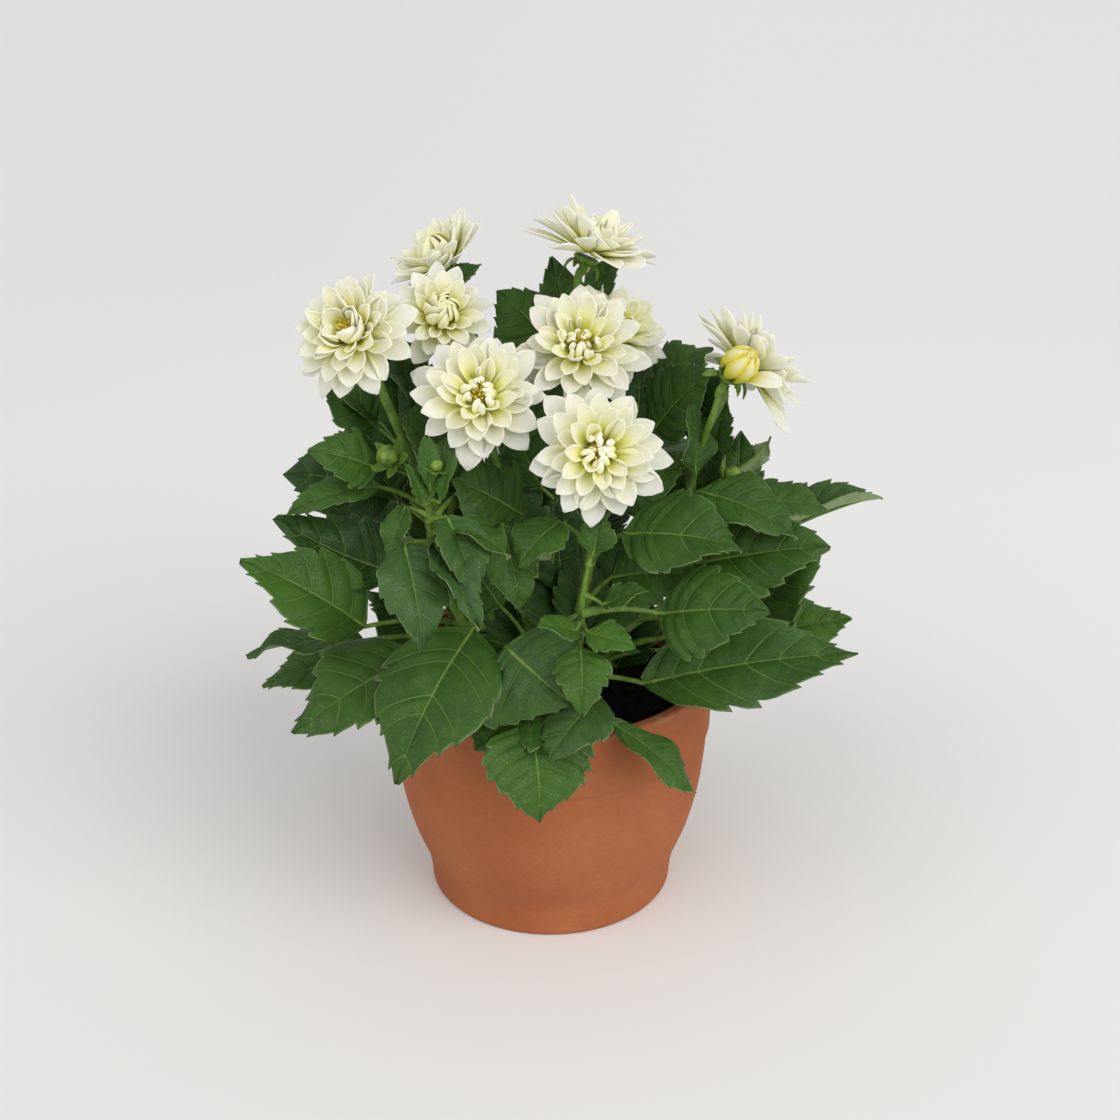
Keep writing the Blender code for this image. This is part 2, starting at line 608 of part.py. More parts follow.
def opening_bud_pieces():
    """A ball of closed petals with one petal already laid back."""
    pieces = [head_core(OPENING_BUD, 0.0072, 0.0135)]
    for index in range(5):
        turn = math.tau * index / 5
        surface = petal_surface(OPENING_BUD, turn, (0.0052, 0.0015), 0.0150, 0.0090, math.radians(74),
                                math.radians(48), 0.12)
        pieces.append(plate("petal", surface, INNER_PETAL, PETAL_RIB, PETAL_THICKNESS))
    laid_back = petal_surface(OPENING_BUD, math.radians(298), (0.0045, 0.0018), 0.0200, 0.0085,
                              math.radians(22), math.radians(-10), 0.16)
    pieces.append(plate("petal", laid_back, OUTER_PETAL, PETAL_RIB, PETAL_THICKNESS))
    return pieces


def inner_radius(height):
    """Radius of the pot's inside at a height."""
    for (low_radius, low), (high_radius, high) in zip(POT_OUTSIDE, POT_OUTSIDE[1:]):
        if low <= height <= high:
            return low_radius + (high_radius - low_radius) * (height - low) / (high - low) - WALL
    return RIM_RADIUS - WALL


def make_pot(finish):
    rim_inner = RIM_RADIUS - WALL
    inside = [(rim_inner - 0.0015, 0.094)]
    inside += [(inner_radius(height), height) for height in INSIDE_HEIGHTS]
    profile = [(0.0, 0.0)]
    profile += POT_OUTSIDE
    profile += [(rim_inner + 0.0012, POT_HEIGHT), (rim_inner, POT_HEIGHT - 0.0012)]
    profile += inside
    profile += [(inner_radius(FLOOR) - 0.002, FLOOR), (0.0, FLOOR)]
    pot = turned("terracotta_pot", profile, POT_SEGMENTS)
    drains = []
    for index in range(DRAIN_HOLES):
        angle = math.tau * (index + 0.5) / DRAIN_HOLES
        x, y = DRAIN_PLACE * math.cos(angle), DRAIN_PLACE * math.sin(angle)
        drains.append(tube("drain", [Vector((x, y, -0.01)), Vector((x, y, 0.02))], [DRAIN_RADIUS] * 2, 10))
    apply_boolean(pot, "DIFFERENCE", collect(drains), "EXACT")
    pot.data.materials.clear()
    pot.data.materials.append(finish)
    pot.data.shade_smooth()
    pot.data.set_sharp_from_angle(angle=math.radians(35))
    return pot


def make_soil(finish):
    """Soil from the pot's floor to below its rim, with a lumpy top and a plain hole for each stem."""
    bottom = FLOOR + GAP
    profile = [(0.0, bottom), (inner_radius(FLOOR) - 0.002 - 2 * GAP, bottom)]
    profile += [(inner_radius(height) - 2 * GAP, height) for height in reversed(INSIDE_HEIGHTS)]
    edge = RIM_RADIUS - WALL - 0.0015 - 2 * GAP
    profile += [(edge, SOIL_TOP - 0.004), (edge * 0.92, SOIL_TOP), (edge * 0.5, SOIL_TOP)]
    profile += [(0.0, SOIL_TOP)]
    soil = turned("soil", profile, POT_SEGMENTS)
    for vertex in soil.data.vertices:
        place = vertex.co
        if place.z >= SOIL_TOP - 0.0001:
            place.z += SOIL_LUMP * noise.noise(Vector((place.x, place.y, 0.3)) * 90)
    holes = []
    for stem in STEMS.values():
        x, y = stem.path[0]
        line = [Vector((x, y, STEM_FOOT - GAP)), Vector((x, y, SOIL_TOP + 0.02))]
        holes.append(tube("hole", line, [stem.radius * 1.12 + HOLE_MARGIN] * 2, HOLE_SIDES))
    apply_boolean(soil, "DIFFERENCE", collect(holes), "EXACT")
    soil.data.materials.clear()
    soil.data.materials.append(finish)
    return soil


def make_all():
    clear_scene()
    terracotta = material("terracotta", (0.50, 0.20, 0.10), 0.75)
    earth = material("soil", (0.012, 0.010, 0.009), 0.95)
    green = material("leaf_green", (0.045, 0.13, 0.030), 0.5)
    cream = material("petal_cream", (0.84, 0.82, 0.62), 0.55)
    yellow = material("bud_yellow", (0.78, 0.70, 0.25), 0.5)
    make_pot(terracotta)
    make_soil(earth)
    for name, stem in STEMS.items():
        fused(name, stem_pieces(name, stem), green, "MANIFOLD")
    for name, bloom in BLOOMS.items():
        fused(name, bloom_pieces(bloom), cream)
    fused("opening_bud", opening_bud_pieces(), yellow, "MANIFOLD")


make_all()
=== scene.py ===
"""Potted dahlia dressed for its picture: toothed and veined leaves, layered petals, a turned pot and crumbly soil.

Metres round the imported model, +Z up, front towards -Y. The tables BLOOMS, STEMS and INNER are in millimetres.
"""

import math
import random
from collections import namedtuple

import bpy
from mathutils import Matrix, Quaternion, Vector, noise


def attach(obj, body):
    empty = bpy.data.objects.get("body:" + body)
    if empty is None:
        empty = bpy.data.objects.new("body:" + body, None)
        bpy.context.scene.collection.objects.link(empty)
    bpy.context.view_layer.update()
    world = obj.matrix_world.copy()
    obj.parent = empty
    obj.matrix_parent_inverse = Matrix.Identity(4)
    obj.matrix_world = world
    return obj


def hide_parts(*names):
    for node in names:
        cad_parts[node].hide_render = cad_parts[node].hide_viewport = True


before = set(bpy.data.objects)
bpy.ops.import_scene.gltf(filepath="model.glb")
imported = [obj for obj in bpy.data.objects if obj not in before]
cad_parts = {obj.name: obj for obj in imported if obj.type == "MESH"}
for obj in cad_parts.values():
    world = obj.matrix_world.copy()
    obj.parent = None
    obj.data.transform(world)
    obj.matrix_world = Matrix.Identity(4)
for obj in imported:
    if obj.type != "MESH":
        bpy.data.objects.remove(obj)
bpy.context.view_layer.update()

# Pot and soil; their profiles are (radius, height) pairs
POT_HEIGHT = 0.114
RIM_RADIUS = 0.075
RIM_LIP = 0.0012
LIP_STEPS = 4
WALL = 0.005
FLOOR = 0.006
POT_SIDES = 144
POT_FOOT = ((0.0555, 0.0), (0.0566, 0.0004), (0.0573, 0.0013))
POT_BELLY = ((0.0573, 0.0013), (0.0582, 0.010), (0.0598, 0.0182), (0.0630, 0.0265), (0.0666, 0.037),
             (0.0701, 0.052), (0.0722, 0.068), (0.0732, 0.0820))
BELLY_POINTS = 37
POT_COLLAR = ((0.0732, 0.0826), (0.0736, 0.0834), (0.0742, 0.0840), (0.0744, 0.0848), (0.0746, 0.096))
POT_INSIDE = ((0.0686, 0.094), (0.0652, 0.052), (0.0580, 0.026), (0.0538, 0.014), (0.0520, FLOOR))
DRAIN_HOLES = 4
DRAIN_RADIUS = 0.0045
DRAIN_PLACE = 0.033
SOIL_TOP = 0.098
SOIL_SIDES = 96
SOIL_WALL = ((0.0515, FLOOR + 0.0003), (0.0532, 0.014), (0.0574, 0.026), (0.0646, 0.052), (0.0680, 0.094))
SOIL_EDGE = 0.001
SOIL_RINGS = 34
SOIL_LUMP = 0.0013
CRUMBS = 300
CRUMB_REACH = 0.066
SMALLEST_CRUMB = 0.0005
CRUMB_RANGE = 0.0013
CRUMB_SEED = 3

# Stems
STEM_FOOT = 0.086
STEM_STRAIGHT = 0.104
STEM_SWELL = 1.10
JOINT_SWELL = 0.22
JOINT_HEIGHT = 0.0022
BLOOM_TAPER = 0.34
SHOOT_TAPER = 0.66
STALK_DETAIL = 2
STEM_SEED = 100
BLADE_THICKNESS = 0.00045
GOLDEN_ANGLE = math.radians(137.508)

# A calyx: its seat under a bloom's centre, its height, and its (depth under the seat, radius) pairs
SEAT_DEPTH = 0.005
CALYX_HEIGHT = 0.005
CALYX_NECK = 0.006
CALYX_RADIUS = 0.0058
CALYX_RINGS = ((0.0038, 0.55 * CALYX_RADIUS), (0.0028, 0.84 * CALYX_RADIUS), (0.0012, CALYX_RADIUS),
               (0.0002, 0.92 * CALYX_RADIUS))
BUD_CALYX_RINGS = ((0.0036, 0.0028), (0.0026, 0.0044), (0.001, 0.0055), (0.0, 0.0052))
BUD_STALK_RADIUS = 0.0015
BUD_STALK_TAPER = 0.0002
BUD_STALK_BOW = -0.003

# A leaf: height of its joint on the stem, blade base, blade tip, width, arch of the midrib,
# fold of the halves and roll about the midrib in degrees, how light its green is (partly its own tone,
# partly painted shade on leaves inside and at the back of the plant) and how greyed
Leaf = namedtuple("Leaf", "joint base tip width arch fold roll shade dull", defaults=(0.45, 0.04))

# A stem: the points of its path, of which the first is its place on the soil, its radius, its bloom and its leaves
Stem = namedtuple("Stem", "path radius bloom leaves")

# A bloom: centre, axis, radius, angle of the lowest petals, count, first turn in degrees, angle of the highest
# petals, how uneven they are and how slim
Bloom = namedtuple("Bloom", "centre axis radius lowest petals spin highest loose slim", defaults=(60, 1.0, 1.0))
Bud = namedtuple("Bud", "centre axis")


def metres(value):
    """Millimetres as metres, also for nested places."""
    return tuple(metres(part) for part in value) if isinstance(value, tuple) else round(value / 1000, 7)


def leaves_from_mm(rows):
    return tuple(Leaf(*metres(row[:5]), *row[5:]) for row in rows)


def stem_from_mm(path, radius, carried, *rows):
    return Stem(metres(path), metres(radius), carried, leaves_from_mm(rows))


def bloom_from_mm(centre, axis, radius, *habit):
    return Bloom(metres(centre), axis, metres(radius), *habit)


BLOOMS = {
    "bloom_left": bloom_from_mm((-83, -15, 274), (-0.30, -0.75, 0.60), 30.2, -6, 50, 10),
    "bloom_back_left": bloom_from_mm((-48, 45, 289), (-0.50, -0.20, 0.84), 26.5, 24, 40, 50),
    "bloom_mid_left": bloom_from_mm((-46.2, 5, 275.7), (0.10, -0.80, 0.60), 24.8, 4, 28, 90),
    "bloom_front_left": bloom_from_mm((-29, -27, 250), (0.00, -0.78, 0.62), 32, -2, 40, 20),
    "bloom_centre": bloom_from_mm((13, -5, 265), (0.00, -0.76, 0.65), 31.5, -4, 42, 70),
    "bloom_front": bloom_from_mm((20, -48, 233), (0.05, -0.90, 0.42), 31.8, -4, 42, 130),
    "bloom_back": bloom_from_mm((18, 31, 299.5), (0.36, 0.08, 0.93), 32.5, 3, 42, 0, 56, 1.3),
    "bloom_back_right": bloom_from_mm((30, 31, 261), (0.40, -0.60, 0.70), 27, -2, 36, 40),
    "bloom_right": bloom_from_mm((86, 0, 256), (0.75, 0.25, 0.60), 34.5, -6, 66, 175, 50, 1.2, 0.82),
}

STEMS = {
    "stem_left": stem_from_mm(
        ((-18, -1), (-28, -5, 140), (-47, -7, 185), (-64, -6, 225), (-74, -3, 250)), 2.4, "bloom_left",
        (130, (-79, -46, 153), (-130, -47, 185), 45, 3, 12, -38, 0.65),
        (122, (-83, -22, 134), (-136, -24, 128), 30, 4, 20, -6),
        (112, (-88, -4, 115), (-132, -14, 107), 32, 3, 12, -22, 0.7),
        (155, (-66, -26, 169), (-117, -30, 197), 40, -3, 14, -38, 0.15),
        (172, (-70, 10, 193), (-119, 6, 203), 50, 4, 10, -45, 0.15),
        (188, (-73, -20, 207), (-112, -32, 199), 22, 4, 25, -20),
        (205, (-74, -18, 215), (-102, -27, 226), 31, 2, 10, -40),
        (212, (-76, 10, 223), (-100, 12, 240), 30, 2, 12, -38),
        (145, (-66, 30, 163), (-114, 48, 168), 48, 5, 12, 0),
    ),
    "stem_mid_left": stem_from_mm(
        ((-12, 10), (-20, 12, 150), (-31, 16, 200), (-43, 20, 245)), 2.2, "bloom_mid_left",
        (214, (-51, 8, 240), (-41, -13, 204), 38, 4, 8, 0),
        (205, (-58, 26, 228), (-78, 20, 262), 36, 2, 12, -30),
        (116, (-28, 22, 132), (-58, 18, 146), 38, 3, 10, -38),
        (165, (-58, 56, 186), (-94, 88, 180), 50, 6, 12, 0),
        (120, (-64, 62, 136), (-104, 92, 116), 46, 6, 12, 0),
    ),
    "stem_back_left": stem_from_mm(
        ((-6, 21), (-14, 28, 160), (-24, 35, 215), (-36, 41, 262)), 2.2, "bloom_back_left",
        (228, (-38, 58, 243), (-68, 78, 250), 36, 4, 12, 0),
        (190, (-30, 70, 208), (-50, 114, 208), 48, 6, 12, 0),
        (140, (-28, 80, 152), (-50, 128, 142), 50, 6, 12, 0),
    ),
    "stem_front_left": stem_from_mm(
        ((-5, -10), (-12, -13, 150), (-20, -15, 200), (-27, -12, 232)), 2.2, "bloom_front_left",
        (178, (-12, -24, 196), (-42, -26, 213), 42, 2, 10, -40),
        (165, (-20, -40, 198), (-12, -60, 166), 26, 3, 12, 0),
        (125, (-22, -20, 150), (-42, -18, 176), 42, 3, 10, -38),
    ),
    "shoot_left": stem_from_mm(
        ((-21, -18), (-34, -32, 140), (-47, -44, 175), (-50, -48, 205), (-47, -47, 222)), 2.2, None,
        (125, (-58, -44, 138), (-108, -74, 116), 56, 5, 8, -20),
        (132, (-32, -58, 158), (-63, -104, 110), 63, 6, 8, 0),
        (203, (-42, -54, 207), (-31, -74, 180), 26, 5, 15, 0, 0.5, 0.5),
        (190, (-47, -58, 196), (-28, -86, 171), 24, 4, 36, 10, 0.5, 0.9),
        (192, (-60, -56, 196), (-51, -86, 161), 32, 5, 6, 0, 0.5, 0.8),
        (205, (-60, -45, 208), (-66, -60, 188), 14, 3, 15, 0),
    ),
    "shoot_front": stem_from_mm(
        ((3, -26), (7, -44, 125), (12, -62, 150), (14, -63, 175), (17, -58, 192)), 1.9, None,
        (138, (-18, -75, 158), (9, -90, 139), 60, 3, 6, 44, 0.40, 0.45),
        (116, (-8, -84, 127), (-4, -106, 93), 49, 6, 8, 0, 0.65),
        (126, (21, -80, 137), (0, -103, 120), 35, 4, 6, 0, 0.45, 0.7),
        (158, (13, -82, 161), (13, -102, 140), 24, 3, 10, 0, 0.85),
        (163, (11, -82, 169), (-5, -94, 177), 18, 1, 10, -20, 0.85),
        (163, (15.5, -79, 167), (35, -90, 165), 18, 1, 10, 20, 0.8),
        (112, (26, -72, 121), (61, -85, 94), 20.5, 3, 8, 10, 0.7),
        (168, (46, -60, 166), (89, -82, 178), 46, 3, 6, 42),
        (128, (40, -58, 132), (131, -57, 146), 44, 4, 8, 32),
        (188, (18, -60, 193), (22, -52, 209), 19, 1, 10, 0),
        (176, (22, -68, 174), (40, -76, 185), 15, 1, 10, 25),
    ),
    "stem_front": stem_from_mm(
        ((11, -12), (14, -20, 150), (20, -28, 190), (23, -31, 215)), 2.4, "bloom_front",
        (176, (32, -36, 192), (81, -52, 192), 46, 4, 8, 32),
        (148, (27, -32, 170), (64, -44, 176), 40, 3, 10, 36),
        (180, (4, -42, 200), (-13, -60, 186), 28, 3, 10, -10),
    ),
    "stem_centre": stem_from_mm(
        ((3, 3), (7, 6, 160), (12, 9, 215), (15, 11, 242)), 2, "bloom_centre",
        (200, (-2, 6, 226), (-30, 0, 246), 36, 2, 10, -40),
        (172, (30, 2, 196), (60, -8, 212), 42, 3, 10, 38),
        (142, (0, -6, 160), (6, -14, 190), 30, 2, 10, 0),
        (180, (-4, 2, 198), (-16, -2, 230), 32, 2, 10, -100),
        (155, (5, -1, 150), (5, -8, 114), 34, 1, 10, 0),
        (124, (18, -6, 144), (48, -18, 152), 42, 3, 10, 38),
    ),
    "stem_back": stem_from_mm(
        ((3, 18), (6, 24, 160), (10, 30, 215), (12, 32, 262)), 2.2, "bloom_back",
        (236, (3, 38, 250), (-24, 48, 275), 42, 2, 8, -45),
        (244, (8, 46, 260), (0, 56, 288), 26, 2, 12, -20),
        (250, (18, 46, 270), (30, 56, 289), 18, 1, 12, 20),
        (205, (10, 64, 224), (3, 110, 234), 44, 5, 12, 0),
        (165, (10, 80, 180), (4, 132, 176), 50, 6, 12, 0),
        (118, (10, 86, 126), (4, 130, 104), 46, 6, 12, 0),
    ),
    "stem_back_right": stem_from_mm(
        ((14, 13), (21, 21, 160), (26, 30, 210), (29, 36, 239)), 2.2, "bloom_back_right",
        (220, (47, 36, 235), (73, 34, 252), 31, 2, 12, 35),
        (198, (46, 16, 220), (71, 10, 251), 42, 2, 10, 40),
        (122, (34, 34, 138), (62, 36, 150), 36, 3, 10, 30),
        (215, (46, 60, 226), (72, 88, 232), 42, 5, 12, 0),
        (170, (44, 66, 182), (72, 112, 178), 50, 6, 12, 0),
        (128, (52, 68, 138), (88, 108, 120), 46, 6, 12, 0),
    ),
    "stem_right": stem_from_mm(
        ((18, -3), (34, -4, 132), (52, -5, 165), (61, -5, 199), (65, -5, 220), (75, -3, 242)), 1.9, "bloom_right",
        (156, (60, -24, 172), (121, -30, 184), 50, 3, 20, 34),
        (136, (86, -2, 132), (120, -8, 170), 42, 2, 8, 30),
        (120, (94, 6, 122), (139, 6, 131), 38, 3, 10, 30, 0.8),
        (170, (92, 16, 164), (153, 28, 184), 42, 3, 54, 10),
        (186, (88, 4, 190), (124, 2, 187), 25, 3, 10, 25, 0.6),
        (194, (66, -16, 203), (106, -34, 189), 36, 4, 20, 25),
        (202, (63, -12, 210), (60, -6, 240), 24, 2, 12, 20),
        (206, (71, 6, 213), (78, 12, 234), 20, 2, 12, 20),
        (190, (84, 10, 203), (98, 10, 219), 15, 2, 12, 200),
        (158, (84, 38, 164), (126, 62, 162), 46, 5, 12, 0),
        (130, (84, 36, 134), (128, 60, 120), 46, 6, 12, 0),
    ),
}

# Leaves that fill the inside and the back of the plant, by the stem that carries them, in millimetres;
# most have a low shade value, which is painted shade for the inside of the plant
INNER = {
    "shoot_front": (
        (114, (0, -74, 134.5), (-31, -88, 116.5), 44, 3, 8, -28, 0.4),
    ),
    "shoot_left": (
        (200, (-38, -18, 204), (-62.5, -12, 237), 30, 2, 12, -30, 0.4),
        (211, (-51, -53, 212), (-59, -48, 229), 10, 1, 14, 0, 0.6),
        (212, (-45, -53, 213), (-39, -48, 234), 10, 1, 14, 0, 0.6),
        (214, (-47, -43, 219), (-43, -34, 236), 12, 1, 14, 0, 0.5),
        (216, (-49, -51, 218), (-50, -46, 240), 9, 1, 14, 0, 0.6),
        (196, (-40, -53, 203), (-16, -66, 194), 24, 2, 14, 0, 0.5),
    ),
    "stem_left": (
        (178, (-66, 8, 208), (-69, 26, 248), 34, 3, 12, 0, 0.15),
        (165, (-68, 4, 191), (-90, 22, 207), 34, 3, 12, 0, 0.2),
        (110, (-55, 0, 113), (-84, 10, 144), 44, 3, 10, 0, 0.25),
        (200, (-76, 12, 226), (-94, 22, 240), 24, 2, 10, 0, 0.25),
        (183, (-33, 35, 205), (-70, 55, 213), 35, 5, 12, -8, 0.45),
        (128, (-34, 30, 150), (-76, 45, 143), 39, 5, 12, -8, 0.28),
    ),
    "stem_mid_left": (
        (150, (-51, 2, 170), (-63, 20, 198), 36, 3, 12, 0, 0.2),
        (160, (-45, 14, 157), (-45, 30, 195), 36, 3, 12, 0, 0.15),
        (190, (-57, 22, 213), (-61, 32, 254), 30, 2, 12, 0, 0.1),
        (110, (-30, 6, 106), (-46, 22, 140), 40, 3, 10, 0, 0.15),
    ),
    "stem_front_left": (
        (150, (-20, -6, 172), (-25, 8, 214), 42, 3, 10, 0, 0.2),
        (112, (-12, -6, 119), (-21, 12, 151), 40, 3, 10, 0, 0.2),
    ),
    "stem_centre": (
        (150, (-1, 2, 169), (-7, 22, 210), 38, 3, 10, 0, 0.15),
        (160, (5, -8, 152), (1, 6, 196), 36, 3, 10, 0, 0.2),
        (130, (4, -14, 130), (-2, 6, 163), 34, 3, 10, 0, 0.2),
        (190, (-2, 14, 202), (-1, 28, 243), 30, 2, 10, 0, 0.1),
        (120, (11, 10, 113), (18, 26, 144), 36, 3, 10, 0, 0.15),
    ),
    "stem_front": (
        (128, (14, -18, 137), (13, -2, 174), 26, 2, 10, 0, 0.25),
        (134, (22, -14, 134), (33, 4, 176), 34, 3, 10, 0, 0.25),
    ),
    "stem_back_right": (
        (190, (67, 14, 210), (77, 24, 247), 30, 2, 10, 0, 0.15),
        (195, (39, 22, 213), (41, 34, 248), 30, 2, 10, 0, 0.1),
        (112, (31, 4, 107), (47, 22, 137), 36, 3, 10, 0, 0.15),
        (128, (13, 43, 150), (34, 84, 153), 38, 5, 12, 0, 0.49),
        (173, (17, 45, 195), (38, 80, 187), 40, 5, 12, 8, 0.41),
        (200, (9, 52, 222), (21, 100, 225), 38, 5, 12, -8, 0.32),
        (148, (21, 38, 170), (56, 75, 168), 42, 5, 12, -8, 0.44),
    ),
    "stem_right": (
        (160, (64, 4, 172), (77, 18, 213), 38, 3, 10, 0, 0.2),
        (150, (51, -4, 165), (61, 10, 207), 34, 3, 10, 0, 0.2),
        (114, (55, 4, 116), (79, 18, 140), 40, 3, 10, 0, 0.2),
        (185, (83, 8, 190), (86, 20, 218), 26, 2, 10, 0, 0.3),
        (128, (25, 31, 150), (62, 54, 146), 42, 5, 12, 0, 0.29),
        (173, (28, 29, 195), (72, 50, 210), 36, 5, 12, -8, 0.33),
    ),
    "stem_back": (
        (200, (-7, 34, 216), (-12, 48, 270), 34, 2, 10, 0, 0.15),
        (118, (0, 51, 140), (-1, 93, 147), 40, 5, 12, 8, 0.38),
        (173, (7, 51, 195), (17, 96, 198), 34, 5, 12, 8, 0.30),
        (210, (-8, 49, 232), (-19, 95, 245), 37, 5, 12, 0, 0.46),
        (143, (9, 47, 165), (20, 84, 155), 43, 5, 12, -8, 0.27),
    ),
    "stem_back_left": (
        (128, (-16, 44, 150), (-36, 77, 152), 39, 5, 12, 8, 0.30),
        (158, (-10, 43, 180), (-24, 82, 169), 37, 5, 12, 0, 0.37),
        (190, (-25, 42, 212), (-59, 75, 203), 44, 5, 12, 0, 0.41),
        (143, (-24, 40, 165), (-55, 71, 176), 40, 5, 12, 8, 0.29),
        (246, (-48, 31, 279), (-30.2, 34, 291), 14, 1, 8, 30, 0.2),
        (240, (-49.6, 33, 276), (-42.7, 38, 292), 15, 1, 10, 0, 0.2),
    ),
}
INNER_LEAVES = {name: leaves_from_mm(rows) for name, rows in INNER.items()}

# Closed green buds on short stalks: stem, joint height, centre, radius
GREEN_BUDS = (
    ("stem_left", 0.205, (-0.069, -0.022, 0.222), 0.0050),
    ("stem_right", 0.196, (0.080, -0.008, 0.207), 0.0048),
    ("shoot_left", 0.220, (-0.046, -0.049, 0.228), 0.0028),
)
GREEN_BUD_STALK = (0.0012, 0.0010, 0.0013)

# The opening bud stands on a side stalk of the right stem
OPENING_BUD_STEM = "stem_right"
OPENING_BUD_JOINT = 0.214
OPENING_BUD = Bud((0.078, -0.020, 0.2605), (0.42, -0.62, 0.66))
OPENING_BUD_SEED = 5

# Petals of blooms that would come this near to the middle of the opening bud are left out
BUD_ROOM = 0.0098
BUD_MIDDLE = 0.004

# Half outlines as (share of the length, share of the half width), and where the teeth stand on them
LARGE_OUTLINE = ((0.0, 0.05), (0.05, 0.30), (0.13, 0.66), (0.22, 0.90), (0.32, 1.0), (0.45, 0.97),
                 (0.58, 0.84), (0.70, 0.63), (0.80, 0.44), (0.88, 0.27), (0.94, 0.14), (1.0, 0.015))
SMALL_OUTLINE = ((0.0, 0.06), (0.07, 0.36), (0.17, 0.74), (0.28, 0.95), (0.38, 1.0), (0.52, 0.90),
                 (0.66, 0.68), (0.80, 0.40), (0.91, 0.18), (1.0, 0.02))
LANCE_OUTLINE = ((0.0, 0.05), (0.10, 0.38), (0.25, 0.76), (0.45, 1.0), (0.62, 0.99), (0.78, 0.82),
                 (0.90, 0.52), (0.96, 0.28), (1.0, 0.04))
LARGE_TEETH = (0.19, 0.35, 0.50, 0.65, 0.79, 0.90)
SMALL_TEETH = (0.24, 0.42, 0.60, 0.78)

# Length from which a leaf has the large outline, and share of its length under which its width makes it a lance
LARGE_LEAF = 0.034
LANCE_SHARE = 0.46
LANCE_TEETH = 0.35
LARGE_NOTCH = 0.13
SMALL_NOTCH = 0.14
TOOTH_REACH = 0.030
TOOTH_SHIFT = 0.038

# Rows between two teeth, columns from the midrib to the margin, and the relief of a blade
ROW_SHARES = (0.0, 0.09, 0.30, 0.52, 0.76)
ACROSS_PLACES = (0.0, 0.06, 0.20, 0.36, 0.52, 0.68, 0.82, 0.93, 1.0)
BLADE_COLUMNS = 2 * (len(ACROSS_PLACES) - 1)
VEIN_SLANT = 1.9
VEIN_CURVE = 1.3
QUILT = 0.00115
QUILT_WIDTH = 0.045
MIDRIB_GROOVE = 0.00055
GROOVE_SHARE = 0.16
HIGHEST_WAVE = 0.0024
WAVE_SHARE = 0.042
CURL_START = 0.6

# Leaf stalks, which run on under the blade as midribs; short leaves have thinner ones
THINNEST_STALK = 0.55
THICK_STALK_LENGTH = 0.12
STALK_ARCH = 0.12
STALK_STEPS = 8
STALK_RADIUS = 0.00105
STALK_FLARE = 0.0016
MIDRIB_STEPS = 7
MIDRIB_REACH = 0.88
MIDRIB_RADIUS = 0.00095
MIDRIB_END = 0.00018

PETAL_OUTLINE = ((0.0, 0.30), (0.14, 0.48), (0.34, 0.80), (0.53, 0.98), (0.64, 1.0), (0.79, 0.85), (0.89, 0.58),
                 (0.96, 0.29), (1.0, 0.05))
ROD_OUTLINE = ((0.0, 0.65), (0.3, 0.90), (0.55, 1.0), (0.75, 0.88), (0.90, 0.62), (0.97, 0.34), (1.0, 0.10))
BRACT_OUTLINE = ((0.0, 0.5), (0.25, 0.95), (0.5, 1.0), (0.75, 0.62), (1.0, 0.08))

# Petals: the grid of each, where their claws stand round the axis and above the seat, and the bracts under them
PETAL_ROWS = 10
PETAL_COLUMNS = 8
PETAL_THICKNESS = 0.00040
CLAW_PLACE = 0.0052
CLAW_CLOSER = 0.0012
CLAW_LIFT = 0.0012
CLAW_HIGHER = 0.0036
RING_STEP = 0.001
BRACTS = 5
BRACT_DEPTH = 0.0014
BRACT_START = (0.0046, -0.0010)
BRACT_WIDTH = 0.42
BLOOM_BRACT = 0.0072
BUD_BRACT = 0.0080

# Hearts. An open one has rings of (count, distance from the axis, height, length, width), the last two as shares
# of the bloom's radius, then the ranges of rise, bend and curl, and the outline of its petals
ROLLED_HEART = (((12, 0.0068, 0.0050, 0.36, 0.195), (6, 0.0046, 0.0070, 0.26, 0.165)), (40, 72), (65, 125),
                (2.1, 2.6), ROD_OUTLINE)
STANDING_HEART = (((7, 0.0060, 0.0048, 0.50, 0.34), (4, 0.0036, 0.0066, 0.44, 0.28)), (52, 74), (10, 45),
                  (0.9, 1.4), PETAL_OUTLINE)
STANDING_HEARTS = ("bloom_left",)
CLOSED_HEARTS = ("bloom_mid_left", "bloom_back_left")

# A closed one has rings of (count, distance from the axis, length, width, rise, bend)
CLOSED_HEART_RINGS = ((7, 0.0054, 0.0134, 0.0064, 50, 84), (6, 0.0042, 0.0134, 0.0062, 58, 76),
                      (5, 0.0030, 0.0128, 0.0056, 64, 66), (4, 0.0014, 0.0122, 0.0050, 70, 66))
CLOSED_HEART_HEIGHT = 0.0042
CLOSED_HEART_LEAN = 0.88
BUD_RINGS = ((6, 0.0052, 0.0168, 0.0092, 52, 92), (5, 0.0040, 0.0158, 0.0092, 60, 78),
             (4, 0.0026, 0.0145, 0.0092, 66, 60), (3, 0.0014, 0.0142, 0.0084, 72, 62))

# The petal laid back beside it: turn, start, length, width, rise, bend and curl
LAID_BACK_PETAL = (math.radians(287), (0.0052, 0.0014), 0.0190, 0.0104, math.radians(54), math.radians(-16), 0.6)

FLORETS = 13
FLORET_THICKNESS = 0.00085
FLORET_LENGTH = 0.0030
FLORET_REACH = 0.0034
FLORET_LIFT = 0.0112
DOME_RADIUS = 0.0050
DOME_HEIGHT = 0.0044
DOME_LIFT = 0.0054
